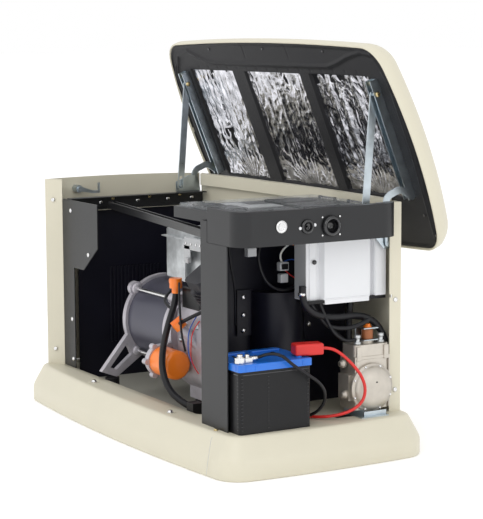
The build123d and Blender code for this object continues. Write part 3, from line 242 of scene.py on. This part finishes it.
def smooth_curve(name, route, radius, wears):
    """A round NURBS curve through the millimetre route, as one closed tube."""
    data = bpy.data.curves.new(name, "CURVE")
    data.dimensions = "3D"
    data.bevel_depth = radius / 1000
    data.bevel_resolution = 4
    data.resolution_u = 10
    data.use_fill_caps = True
    spline = data.splines.new("NURBS")
    spline.points.add(len(route) - 1)
    spline.points.foreach_set("co", [value for x, y,
                                     z in route for value in (x / 1000, y / 1000, z / 1000, 1)])
    spline.order_u = 3
    spline.use_endpoint_u = True
    curve = bpy.data.objects.new(name, data)
    bpy.context.collection.objects.link(curve)
    data.materials.append(FINISHES[wears])
    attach(curve, "frame")
    return curve


def curve_length(curve):
    """The length of a curve's own centre line, in metres."""
    depth = curve.data.bevel_depth
    curve.data.bevel_depth = 0
    bare = bpy.data.meshes.new_from_object(curve)
    points = np.empty(len(bare.vertices) * 3)
    bare.vertices.foreach_get("co", points)
    curve.data.bevel_depth = depth
    return float(np.linalg.norm(np.diff(points.reshape(-1, 3), axis=0), axis=1).sum())


for node, route, radius, wears, stiffness in (
        ("negative_cable", NEGATIVE, 4, "black_rubber", "medium"),
        ("positive_cable", POSITIVE, 4, "red_plastic", "medium"),
        ("gas_hose", GAS, 9, "black_rubber", "stiff"), ("vent_hose", VENT, 8, "black_rubber", "stiff"),
        ("oil_drain_hose", DRAIN, 9, "black_rubber", "stiff")):
    curve = smooth_curve(node + "_line", route, radius, wears)
    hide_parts(node)
    curve_length(curve)
    print(node, "length", round(curve_length(curve), 3))

# %% [markdown]
# ## Step 4. Tools for surfaces
# A surface is a grid of points: rings round the outside, stacked one after another.

# %% Surface tools
def mesh_piece(name, points, faces, wears, body="frame", smooth=True, bevel=0.0):
    """A named mesh that rides on a body, with its faces turned outwards."""
    data = bpy.data.meshes.new(name)
    data.from_pydata(np.asarray(points, float).tolist(), [], faces)
    data.validate()
    tidy = bmesh.new()
    tidy.from_mesh(data)
    bmesh.ops.recalc_face_normals(tidy, faces=tidy.faces)
    tidy.to_mesh(data)
    tidy.free()
    data.polygons.foreach_set("use_smooth", [smooth] * len(data.polygons))
    made = bpy.data.objects.new(name, data)
    bpy.context.collection.objects.link(made)
    data.materials.append(FINISHES[wears])
    if bevel:
        soften(made, bevel)
    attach(made, body)
    return made


def soften(obj, width, segments=2):
    """Round an object's sharp edges by width metres."""
    rounding = obj.modifiers.new("rounding", "BEVEL")
    rounding.width = width
    rounding.segments = segments
    rounding.limit_method = "ANGLE"
    rounding.angle_limit = radians(40)
    rounding.harden_normals = False


def grid_faces(rows, columns, closed):
    """Quads between neighbouring rows of a grid; closed joins each row's ends."""
    wrap = columns if closed else columns - 1
    start = (np.arange(rows - 1)[:, None] * columns + np.arange(wrap)[None, :]).ravel()
    step = (np.arange(rows - 1)[:, None] * columns + (np.arange(wrap)[None, :] + 1) % columns).ravel()
    return np.stack([start, step, step + columns, start + columns], 1).tolist()


def stacked_rings(name, rings, wears, body="frame", smooth=True):
    """A closed surface through rings of equal length, capped at both ends."""
    rings = np.asarray(rings, float)
    rows, columns, _ = rings.shape
    faces = grid_faces(rows, columns, True)
    faces.append(list(range(columns)))
    faces.append(list(range((rows - 1) * columns, rows * columns)))
    return mesh_piece(name, rings.reshape(-1, 3), faces, wears, body, smooth)


def slab(name, front, depth, wears, body="frame"):
    """A thin closed sheet: the front grid, its border pushed back by depth, and a flat back."""
    rows, columns, _ = front.shape
    index = np.arange(rows * columns).reshape(rows, columns)
    border = np.concatenate([index[0], index[1:, -1], index[-1, -2::-1], index[-2:0:-1, 0]])
    points = front.reshape(-1, 3)
    back = points[border] + np.asarray(depth)
    count, total = len(border), len(points)
    faces = grid_faces(rows, columns, False)
    behind = total + np.arange(count)
    sides = np.stack([border, np.roll(border, -1), np.roll(behind, -1), behind], 1).tolist()
    return mesh_piece(name, np.vstack([points, back]), faces + sides + [behind.tolist()], wears, body)


def boxes(name, spans, wears, body="frame", bevel=0.0008):
    """Boxes given as (x0, x1, y0, y1, z0, z1) in millimetres, all in one piece."""
    spans = np.asarray(spans, float) / 1000
    corner = np.array([(0, 2, 4), (1, 2, 4), (1, 3, 4), (0, 3, 4), (0, 2, 5), (1, 2, 5), (1, 3, 5),
                       (0, 3, 5)])
    points = spans[:, corner].reshape(-1, 3)
    quads = np.array([(0, 3, 2, 1), (4, 5, 6, 7), (0, 1, 5, 4), (1, 2, 6, 5), (2, 3, 7, 6), (3, 0, 4, 7)])
    faces = (quads[None] + 8 * np.arange(len(spans))[:, None, None]).reshape(-1, 4).tolist()
    return mesh_piece(name, points, faces, wears, body, smooth=False, bevel=bevel)


def turned(name, profile, spots, axis, wears, body="frame", sides=32):
    """A (radius, height) millimetre profile turned round an axis at each of several spots."""
    along = Vector(axis).normalized()
    turn = np.array(along.to_track_quat("Z", "Y").to_matrix())
    angle = np.linspace(0, 2 * pi, sides, endpoint=False)
    profile = np.asarray(profile, float)
    ring = np.stack([profile[:, :1] * np.cos(angle), profile[:, :1] * np.sin(angle),
                     np.repeat(profile[:, 1:], sides, 1)], 2) @ turn.T
    points, faces = [], []
    for number, spot in enumerate(spots):
        first = number * len(profile) * sides
        points.append(ring.reshape(-1, 3) + np.asarray(spot, float))
        faces += (np.array(grid_faces(len(profile), sides, True)) + first).tolist()
        faces.append(list(range(first, first + sides)))
        faces.append(list(range(first + (len(profile) - 1) * sides, first + len(profile) * sides)))
    return mesh_piece(name, np.vstack(points) / 1000, faces, wears, body)


def hex_head(size, height):
    """Profile of a flanged bolt head with softened edges."""
    return [(size * 1.35, 0), (size * 1.35, height * 0.25), (size, height * 0.3), (size, height * 0.85),
            (size * 0.85, height)]


def round_head(size, height):
    """Profile of a pan-head screw."""
    return [(size, 0), (size, height * 0.35), (size * 0.85, height * 0.75), (size * 0.5, height),
            (size * 0.2, height)]


def bowed_outline(length, width, bow_x, bow_y, corner, inset=0.0):
    """Loop of a rectangle with bowed sides and round corners, moved inwards by inset, in millimetres.

    The radius of each bowed side is (half chord squared plus bow squared) over twice the bow.
    """
    half_x, half_y = length / 2, width / 2
    radius_y = ((half_x - bow_x) ** 2 + bow_y ** 2) / (2 * bow_y)
    radius_x = ((half_y - bow_y) ** 2 + bow_x ** 2) / (2 * bow_x)
    long_centre = np.array([0, half_y - radius_y])
    end_centre = np.array([half_x - radius_x, 0])
    reach_y, reach_x = radius_y - corner, radius_x - corner
    apart = end_centre - long_centre
    distance = np.hypot(*apart)
    near = (reach_y ** 2 - reach_x ** 2 + distance ** 2) / (2 * distance)
    height = np.sqrt(reach_y ** 2 - near ** 2)
    unit = apart / distance
    centre = long_centre + near * unit + height * np.array([-unit[1], unit[0]])
    if centre[0] < 0 or centre[1] < 0:
        centre = long_centre + near * unit - height * np.array([-unit[1], unit[0]])
    low = np.arctan2(*(centre - end_centre)[::-1])
    high = np.arctan2(*(centre - long_centre)[::-1])
    angle = np.concatenate([np.linspace(0, low, 10), np.linspace(low, high, 18)[1:],
                            np.linspace(high, pi / 2, 22)[1:]])
    normal = np.stack([np.cos(angle), np.sin(angle)], 1)
    quarter = np.where((angle < low)[:, None], end_centre + (radius_x - inset) * normal,
                       centre + (corner - inset) * normal)
    quarter = np.where((angle > high)[:, None], long_centre + (radius_y - inset) * normal, quarter)
    return np.vstack([quarter, (quarter * (-1, 1))[-2::-1], (quarter * (-1, -1))[1:],
                      (quarter * (1, -1))[-2:0:-1]])


OPEN = radians(68)
HINGE = np.array([0, 228, 536])


def lid_point(x, v, w):
    """Metres in the frame from lid coordinates: x, v along the lid from the hinge, w above it."""
    x, v, w = np.broadcast_arrays(np.asarray(x, float), v, w)
    y = HINGE[1] + v * cos(OPEN) + w * sin(OPEN)
    z = HINGE[2] - v * sin(OPEN) + w * cos(OPEN)
    return np.stack([x, y, z], -1) / 1000


for name in ("left_end_panel", "rear_panel", "right_rear_post", "left_upright", "top_rail", "front_brace",
             "centre_post",
             "partition_wall", "inner_baffle", "control_band", "control_shelf", "controller_module",
             "battery_case",
             "lid_arms", "left_strut", "right_strut", "hinge_brackets", "regulator_bracket",
             "regulator_body",
             "electrical_box", "latch_hook", "crankcase", "alternator_end_frame", "air_intake",
             "rubber_mounts"):
    soften(nodes[name], 0.0012 if name in ("crankcase", "battery_case", "regulator_body") else 0.0006)
print("edges softened")

# %% [markdown]
# ## Step 5. Base and lid skins
# Both are bowed rectangles that shrink as they rise, with the shoulder rolled over.

# %% Base
BASE_OUTLINE = (1218, 638, 14, 29, 70)     # length, width, bow of the ends, bow of the sides, corner
DECK_TOP = 105
base_profile = [(14, 0), (3, 1), (0, 5), (0, 38), (1, 45), (4, 53), (12, 68), (27, 95), (30.5, 101),
                (35, 104.4), (41, 105)]
rings = []
for inset, z in base_profile:
    loop = bowed_outline(*BASE_OUTLINE, inset)
    rings.append(np.column_stack([loop, np.full(len(loop), z)]))
WELL = np.array([[-506, -207], [292, 234]])
well_middle = WELL.mean(0)
edge = bowed_outline(*BASE_OUTLINE, 60)
ray = edge - well_middle
half = (WELL[1] - WELL[0]) / 2
well_loop = well_middle + ray * np.min(half / np.maximum(np.abs(ray), 1e-6), axis=1)[:, None]
for share in (0.0, 0.5, 0.985):
    loop = edge + (well_loop - edge) * share
    rings.append(np.column_stack([loop, np.full(len(loop), float(DECK_TOP))]))
for z in (104, 80, 7):
    rings.append(np.column_stack([well_loop, np.full(len(well_loop), float(z))]))
base = stacked_rings("base_skin", np.array(rings) / 1000, "cream_paint")
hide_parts("base_frame")
dish = [(6, 0.2), (12, 0.2), (13.5, 1.0), (15, 0.1)]
turned("ledge_dishes", dish, [(-225, -252, DECK_TOP), (236, -257, DECK_TOP)], (0, 0, 1), "cream_paint")
turned("ledge_screws", hex_head(6, 6), [(-225, -252, 105.4), (236, -257, 105.4)], (0, 0, 1), "steel_bright")
turned("post_screw", round_head(6, 4), [(473, -256, DECK_TOP)], (0, 0, 1), "yellow_chromate")
boxes("deck_slot", [(488, 512, 70, 158, 104.6, 105.4)], "black_rubber", bevel=0.0004)
seam = [(531 - 3 * k, -297 - 1.1 * k, z) for k, z in enumerate((105.3, 103.5, 96, 80, 62, 48, 30, 8))]
print("base rings:", len(rings))

# %% Lid shell
LID_OUTLINE = (1174, 588, 42, 14, 80)      # length, width, bow of the ends, bow of the sides, corner
lid_centre = -204
inner = [(60, 172), (44, 170), (32, 164), (22, 155), (12, 143), (7, 134), (6, 116), (5, 113)]
outer = [(3, 112), (1, 113), (0, 116), (0, 128), (1, 136), (5.5, 145), (12, 155), (19, 163), (28, 171),
         (40, 177), (58, 179)]
rings = []
for inset, w in inner + outer:
    loop = bowed_outline(*LID_OUTLINE, inset)
    rings.append(lid_point(loop[:, 0], loop[:, 1] + lid_centre, w))
loop = bowed_outline(*LID_OUTLINE, 58)
for share, w in ((0.6, 179.6), (0.2, 180)):
    rings.append(lid_point(loop[:, 0] * share, loop[:, 1] * share + lid_centre, w))
shell = stacked_rings("lid_skin", rings, "cream_paint", "lid")
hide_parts("lid_shell")
print("lid rings:", len(rings))

# %% [markdown]
# ## Step 6. Lid liner and foil
# The liner is one height field: a flat face, three sunk windows, a raised bead and a row of
# dimples. Each foil pad is crinkled by ridged noise stretched along the lid.

# %% Lid liner
LINER_OUTLINE = (1162, 576, 42, 14, 74)
LINER_FACE = 120                           # height of the flat face above the hinge
WINDOW_DEPTH = 10
WINDOWS = [(-457, -216), (-144, 142), (193, 464)]
WINDOW_V = (-402, -67)
columns, rows = 400, 225
outline = bowed_outline(*LINER_OUTLINE, 0.5)
upper = outline[outline[:, 1] >= 0]
upper = upper[np.argsort(upper[:, 0])]
across = np.linspace(-580.4, 580.4, columns)
half_width = np.interp(across, upper[:, 0], upper[:, 1])
share = np.linspace(-1, 1, rows)[:, None]
x = np.repeat(across[None], rows, 0)
v = lid_centre + share * half_width[None]


def step(value, edge_at, width):
    """Smooth rise from 0 to 1 centred on edge_at."""
    t = np.clip((value - edge_at) / width + 0.5, 0, 1)
    return t * t * (3 - 2 * t)


def ridge(distance, width):
    """A rounded ridge of height 1 about zero distance."""
    return np.exp(-(distance / width) ** 2)


sunk = np.zeros_like(x)
for low, high in WINDOWS:
    sunk = np.maximum(sunk, step(x, low, 4) * step(-x, -high, 4) * step(v, WINDOW_V[0], 4) * step(-v,
            -WINDOW_V[1], 4))
bead_x = [-560, -537, -502, -436, -352, -300, 300, 346, 405, 469, 518, 545, 560]
bead_v = [-330, -400, -449, -462, -435, -428, -428, -438, -456, -469, -462, -410, -330]
bead_line = np.interp(x, bead_x, bead_v)
bead = ridge(v - bead_line, 6) * (np.abs(x) < 552)
side_line = np.interp(v, [-420, -391, -200, 25], [534, 553, 556, 537])
bead = np.maximum(bead, ridge(np.abs(x) - side_line, 6) * step(v, -415, 20))
plateau = step(-(v - bead_line), 6, 16)
lip = step(np.abs(share), 0.975, 0.03)
dimples = sum(ridge(np.hypot(x - at, v + 414), 4) for at in np.arange(-400, 460, 55))
seams = (ridge(x + 108, 2) + ridge(x - 120, 2)) * step(-v, 446, 6)
w = LINER_FACE + WINDOW_DEPTH * sunk - 5.5 * bead - 2.5 * plateau - 3 * lip + 1.6 * dimples + 1.5 * seams
liner = slab("lid_liner_face", lid_point(x, v, w), lid_point(0, 0, 12) - lid_point(0, 0, 0), "charcoal",
             "lid")
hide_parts("lid_liner")
print("liner points:", x.size)


# %% Foil pads
def soft_noise(shape, size_down, size_across):
    """Random field with features size_down by size_across cells, from about -1 to 1."""
    field = np.fft.rfft2(rng.standard_normal(shape))
    down = np.fft.fftfreq(shape[0])[:, None] * size_down
    over = np.fft.rfftfreq(shape[1])[None] * size_across
    field = np.fft.irfft2(field * np.exp(-20 * (down ** 2 + over ** 2)), shape)
    return field / (2 * field.std())


for number, (low, high) in enumerate(WINDOWS):
    shape = (230, 180)
    vv = np.linspace(WINDOW_V[0] - 4, WINDOW_V[1] + 4, shape[0])[:, None]
    xx = np.linspace(low - 4, high + 4, shape[1])[None]
    folds = 1 - np.abs(soft_noise(shape, 70, 9)) * 1.7
    streaks = np.abs(soft_noise(shape, 46, 3.4))
    crackle = 1 - np.abs(soft_noise(shape, 6, 5)) * 1.7
    fine = soft_noise(shape, 2.6, 2.2)
    swell = soft_noise(shape, 60, 22)
    centre_x = (low + high) / 2 + 20
    spread = np.arctan2(xx - centre_x, vv + 40)
    rays = np.abs(np.sin(15 * spread + 1.8 * soft_noise(shape, 14, 14)))
    foot = step(vv + 0 * xx, -150, 110)
    height = (2.2 * folds * (1 - 0.6 * foot) + 1.0 * streaks + 1.0 * crackle + 0.5 * fine + 1.4 * swell
              + 1.8 * rays * foot)
    ww = 128.4 - height * 0.8
    front = lid_point(xx + 0 * vv, vv + 0 * xx, np.clip(ww, 121, 130))
    pad = slab("foil_pad_%d" % number, front, lid_point(0, 0, 6) - lid_point(0, 0, 0), "foil", "lid")
    layer = pad.data.uv_layers.new(name="lid")
    corner_of = np.empty(len(pad.data.loops), int)
    pad.data.loops.foreach_get("vertex_index", corner_of)
    coords = np.empty(len(pad.data.vertices) * 3)
    pad.data.vertices.foreach_get("co", coords)
    coords = coords.reshape(-1, 3)
    along = (coords[:, 1] * 1000 - HINGE[1]) * cos(OPEN) - (coords[:, 2] * 1000 - HINGE[2]) * sin(OPEN)
    flat = np.column_stack([coords[:, 0], along / 1000])
    layer.data.foreach_set("uv", flat[corner_of].ravel())
    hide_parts("foil_pads")
print("foil pads:", len(WINDOWS))

# %% Lid fittings
screw_spots = [lid_point(x, v, 117.5) * 1000 for x,
               v in ((-520, -60), (519, -24), (552, -181), (543, 30), (-300, -470), (0, -474), (300, -470))]
turned("liner_clips", round_head(4, 2.5), screw_spots, tuple(lid_point(0, 0, -1) - lid_point(0, 0, 0)),
       "black_gloss", "lid")
rivets = [lid_point(s * 493, v, 115.5) * 1000 for s in (-1, 1) for v in (-385, -90)]
turned("channel_bolts", hex_head(5, 4), rivets, tuple(lid_point(0, 0, -1) - lid_point(0, 0, 0)),
       "yellow_chromate", "lid")
pins = [(s * 509, 190.4, 911.2) for s in (-1, 1)]
turned("upper_pin_head_right", round_head(7, 4), [pins[1]], (1, 0, 0), "yellow_chromate", "lid")
turned("upper_pin_head_left", round_head(7, 4), [(-481, 190.4, 911.2)], (1, 0, 0), "yellow_chromate", "lid")

# %% [markdown]
# ## Step 7. Frame screws, grille and control panel

# %% Screws and grille
rail_spots = [(-484, y, 576) for y in (-164, -100, 20, 120, 200)]
turned("rail_screws", round_head(6.5, 3.6), rail_spots, (1, 0, 0), "steel_bright")
corner_spots = [(-342, -208, 444), (-456, -208, 246), (-456, -208, 560), (-452, -208, 130)]
turned("upright_screws", round_head(6.5, 3.6), corner_spots, (0, -1, 0), "steel_bright")
turned("post_screws", round_head(6.5, 3.6), [(512, 245, z) for z in (160, 392)], (1, 0, 0), "steel_bright")
turned("edge_screws", round_head(6, 3.4), [(-531, -229, 586), (-531, -229, 150)], (1, -1, 0),
       "steel_bright")
replacement = turned("lid_stay_screws", round_head(5, 3), [(-484.5, y, 585) for y in (-60, 60, 160)],
                     (1, 0, 0), "yellow_chromate")
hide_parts("screws")
boxes("grille_backing", [(-497.5, -494, -120, 120, 140, 400)], "black_metal")
louvres = [(-490.4, -486.5, y - 4.6, y + 1.6, 164, 384) for y in np.arange(-66, 96, 12)]
boxes("grille_slats", louvres, "black_metal", bevel=0.0012)

# %% Control panel
turned("key_ring", [(5, 0), (13.4, 0), (14.6, 1), (14.6, 2.2), (12.4, 3.2), (8.6, 3.2), (8.4, 2.0)],
       [(576.6, -132, 606)], (1, 0, 0), "steel_bright")
turned("socket_screws", round_head(4, 2.4), [(577, -58 + s * 21, 602 + s * 3) for s in (-1, 1)], (1, 0, 0),
       "white_satin")
turned("socket_rim", [(12, -4.5), (12.4, -0.4), (17, 0), (18, 2), (16, 4), (12.5, 4.6), (11.6, 3.4),
                      (11.4, -4)], [(577, -58, 602)], (1, 0, 0), "black_gloss")
turned("socket_pins", [(2, 0), (2, 6), (1, 7)],
       [(566, -58 + a, 602 + b) for a, b in ((0, 6), (5, -4), (-5, -4))], (1, 0, 0), "steel_bright")
turned("port_rim", [(17.4, -16.5), (17.8, -0.5), (24, 0), (25, 3), (23.5, 7), (19.5, 9), (17.2, 8),
                    (16.6, 0.5), (16.4, -16)], [(577, 10, 600)], (1, 0, 0), "black_gloss")
turned("port_holes", [(2.4, 0), (2.4, 0.8), (1.6, 0.9)],
       [(576.2, 10 + a * 25, 600 + b * 22) for a in (-1, 1) for b in (-1, 1)],
       (1, 0, 0), "steel_bright")
boxes("shelf_modules", [(240, 300, -190, -130, 630, 636.5), (310, 400, -190, -120, 630, 636.5),
                        (240, 330, 20, 130, 630, 636.5),
                        (345, 450, 10, 120, 630, 636)], "black_plastic", bevel=0.002)
boxes("shelf_plates", [(242, 298, -110, -60, 630, 633), (312, 372, -100, 0, 630, 633)], "pale_grey",
      bevel=0.001)

# %% Controller module
module_side = [(425, 477.5, -1.6, 0.2, 405, 554), (489, 491.4, 46, 182, 551, 556),
               (488, 492, 50, 178, 403.4, 406)]
boxes("module_side", [module_side[0]], "grey_satin", bevel=0.0008)
boxes("module_ribs", module_side[1:] + [(474, 480.5, 8, 10.5, 405, 554), (484, 491, 196, 198, 405, 554)],
      "white_satin")
turned("module_knob", round_head(6, 5), [(480.5, 22, 499)], (1, 0, 0), "black_gloss")
boxes("module_foot", [(430, 488, 0, 232, 395, 403.5)], "black_plastic", bevel=0.001)

# %% [markdown]
# ## Step 8. Battery, regulator and engine details

# %% Battery
X0, X1, Y0, Y1, TOP = 387, 560, -240, -32, 277
dashes = [(X1 - 3.6, X1 - 1.6, y, y + 5, z, z + 1.6) for y in (-233, -48, -160) for z in range(116, 256, 9)]
dashes += [(x, x + 5, Y0 + 1.6, Y0 + 3.6, z, z + 1.6) for x in (397, 545) for z in range(116, 256, 9)]
boxes("battery_ribs", dashes, "black_gloss", bevel=0.0005)
boxes("battery_seam", [(X1 - 3.4, X1 - 1.8, Y0 + 12, Y1 - 12, 250, 253),
                       (X0 + 12, X1 - 12, Y0 + 1.8, Y0 + 3.4, 250, 253)], "black_gloss")
notches = [(X1 - 0.6, X1 + 1.2, y, y + 9, 261, 273) for y in (-222, -196, -96, -62)]
notches += [(x, x + 9, Y0 - 1.2, Y0 + 0.6, 261, 273) for x in (400, 440, 500, 536)]
boxes("battery_lid_ribs", notches, "battery_blue", bevel=0.001)
boxes("battery_vents", [(412, 432, -225, -148, TOP - 1, TOP + 5), (412, 432, -130, -50, TOP - 1, TOP + 5)],
      "battery_blue", bevel=0.002)
boxes("battery_handle_slots", [(446, 502, -196, -190, TOP - 0.5, TOP + 1.5),
                               (446, 502, -84, -78, TOP - 0.5, TOP + 1.5)], "black_plastic", bevel=0.0005)
turned("clamp_bolt", hex_head(5.5, 8), [(532, -202, 289)], (0, 0, 1), "steel_bright")
turned("clamp_nut", hex_head(7, 9), [(532, -222, 290)], (0, 0, 1), "steel_bright")
turned("cable_lug", [(3, 0), (6.2, 0), (6.2, 18), (4.2, 20)], [(532, -194, 284)], (0.03, 1, 0.12),
       "steel_bright")

# %% Regulator
dome_profile = [(20, 0), (61, 0), (62, 1.5), (62, 6.5), (60.5, 8), (55.5, 8.6), (54.5, 12), (50.5, 17),
                (42, 22.6), (30, 26.4), (14, 27.9), (4, 28)]
dome = turned("regulator_cover", dome_profile, [(520, 166, 176)], (1, 0, 0), "cast_warm", sides=64)
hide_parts("regulator_dome")
turned("dome_holes", [(3, 0), (3, 0.5), (2, 0.6)],
       [(547.2, 166 + a, 182 + b) for a, b in ((-9, 0), (9, 0), (0, 10), (0, -10))],
       (1, 0, 0), "black_rubber")
turn8 = [radians(k * 45 + 22) for k in range(8)]
turned("dome_screws", round_head(3.6, 3), [(528, 166 + 57.5 * cos(a), 176 + 57.5 * sin(a)) for a in turn8],
       (1, 0, 0), "steel_bright")
boxes("regulator_ribs", [(453, 522, 117, 121, 120, 250), (453, 522, 219, 223, 120, 250),
                         (453, 522, 117, 223, 248, 256),
                         (519, 524, 122, 136, 246, 282), (519, 524, 204, 218, 246, 282)], "cast_warm",
                         bevel=0.0015)
turned("regulator_plugs", [(11, 0), (11, 9), (8, 10), (7, 15), (3, 15)], [(484, 110, 236), (500, 106, 160)],
       (0, -1, 0), "cast_warm")
turned("regulator_fitting", [(9, 0), (9, 6), (6, 7), (6, 16), (8, 17), (8, 24), (3, 25)],
       [(505, 135, 285), (505, 205, 285)], (0, 0, 1), "galvanised")
coil = turned("solenoid_coil", [(6, 0), (14.5, 0), (15, 2), (15, 24), (14, 26), (8, 27)], [(494, 172, 296)],
              (0, 0, 1), "copper")
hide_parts("gas_solenoid")
boxes("solenoid_yoke", [(470, 512, 150, 194, 293, 296), (470, 512, 150, 194, 323, 326),
                        (470, 473, 150, 194, 293, 326)], "zinc")
turned("solenoid_nut", hex_head(8, 8), [(494, 172, 326)], (0, 0, 1), "orange")
turned("solenoid_stem", [(9, 0), (9, 8), (7, 8)], [(494, 172, 285)], (0, 0, 1), "galvanised")
turned("hose_clips", [(10, 0), (10, 8), (9.2, 8)], [(482, -14.6, 418)], (0, 0, 1), "steel_bright")

# %% Engine bay
turned("shield_bolts", hex_head(5, 4), [(308.5, -82, z) for z in (312, 352, 398)] + [(308.5, 114,
        z) for z in (312, 352, 398)],
       (1, 0, 0), "steel_bright")
turned("rod_nuts", hex_head(8, 7), [(-254.5, -23 + a * 87.7, 267 + b * 87.7) for a in (-1, 1) for b in (-1,
        1)], (-1, 0, 0), "zinc")
turned("frame_bosses", [(10, 0), (15, 0), (15, 3), (13, 5), (9, 6)],
       [(-236, -23 + a * 87.7, 267 + b * 87.7) for a in (-1, 1) for b in (-1, 1)],
       (1, 0, 0), "cast")
turned("case_bolts", hex_head(5, 5), [(27 + 30 * k, -128, 300 - 45 * (k % 2)) for k in range(6)],
       (0, -1, 0), "zinc")
turned("filter_face", [(3, 0), (26, 0), (31, -1.5), (33, -4)], [(123.4, -172, 199)], (1, 0, 0), "orange")
boxes("box_plug", [(8, 26, -90, -78, 452, 468)], "pale_grey", bevel=0.003)
boxes("box_bracket", [(-12, 84, -80.5, -77.2, 488, 521), (-14, 22, -80.5, -77.2, 452, 500)], "pale_grey",
      bevel=0.002)
turned("box_rivets", round_head(4, 2.5), [(x, -80.6, 505) for x in (0, 28, 56, 78)], (0, -1, 0),
       "steel_bright")
boxes("engine_shroud", [(44, 150, -120, -96, 318, 396), (60, 220, -60, 60, 330, 420)], "black_plastic",
      bevel=0.008)
print("details drawn")

# %% [markdown]
# ## Step 9. Wiring
# Thin wires hang between the controls and the connectors in front of the partition.

# %% Wires and connectors
boxes("connector_blocks", [(376, 394, -118, -92, 512, 534), (376, 394, -24, 2, 470, 492),
                           (376, 394, -22, 0, 440, 462),
                           (376, 394, 36, 58, 438, 462)], "pale_grey", bevel=0.002)
boxes("connector_caps", [(374, 378, -114, -96, 515, 531), (392, 397, -20, -2, 474, 488),
                         (392, 397, 40, 54, 442, 458)], "black_plastic", bevel=0.001)
WIRES = [
    ("loom_loop", "black_rubber", 4.0, [(372, -60, 559), (376, -80, 520), (382, -76, 478), (386, -58, 440),
    (388, -24, 420), (388, 20, 424), (386, 46, 440)]),
    ("loom_back", "black_rubber", 3.5, [(360, 60, 559), (368, 66, 510), (378, 60, 462), (390, 62, 410),
    (410, 74, 350), (440, 104, 318), (470, 122, 292)]),
    ("loom_side", "black_rubber", 3.0, [(350, -150, 559), (352, -146, 500), (348, -130, 440),
    (330, -118, 380), (318, -112, 330)]),
    ("wire_white", "white_plastic", 2.6, [(380, 60, 559), (382, 24, 544), (384, -8, 526), (385, -22, 506),
    (385, -12, 488)]),
    ("wire_blue", "wire_blue", 1.4, [(384, -12, 490), (386, 10, 500), (388, 34, 490), (390, 50, 470),
    (392, 56, 440)]),
    ("wire_orange", "orange", 1.4, [(380, -10, 559), (384, 4, 540), (388, 30, 528), (392, 58, 520),
    (396, 72, 500)]),
    ("wire_red", "red_plastic", 1.4, [(384, -4, 470), (388, 14, 452), (390, 34, 446), (388, 50, 470),
    (384, 64, 500)]),
    ("engine_wire_a", "black_rubber", 3.0,
    [(60, -134, 408), (92, -152, 380), (132, -170, 330), (150, -176, 280), (140, -160, 240)]),
    ("engine_wire_b", "wire_blue", 1.5, [(150, -132, 330), (142, -150, 300), (150, -158, 260),
    (140, -150, 220), (150, -134, 190)]),
    ("engine_wire_c", "red_plastic", 1.5,
    [(164, -130, 320), (158, -150, 296), (166, -158, 250), (152, -150, 210), (160, -132, 180)]),
    ("fuel_pipe", "black_rubber", 5.0, [(20, -136, 300), (60, -150, 296), (110, -166, 306),
    (160, -160, 330), (190, -130, 350)]),
    ("box_lead", "black_rubber", 4.0, [(-60, -66, 398), (-64, -92, 370), (-40, -128, 352), (0, -140, 340),
    (30, -134, 330)]),
    ("sense_tube", "black_rubber", 4.0, [(478, 40, 396), (492, 60, 330), (500, 92, 300), (505, 118, 296),
    (505, 134, 300)]),
    ("sense_tube_b", "black_rubber", 6.0,
    [(470, 20, 392), (478, 52, 338), (486, 92, 326), (500, 140, 330), (504, 170, 346)]),
    ("base_seam", "pale_grey", 0.5, seam),
]
for name, wears, radius, route in WIRES:
    smooth_curve(name, route, radius, wears)
print("wires:", len(WIRES))
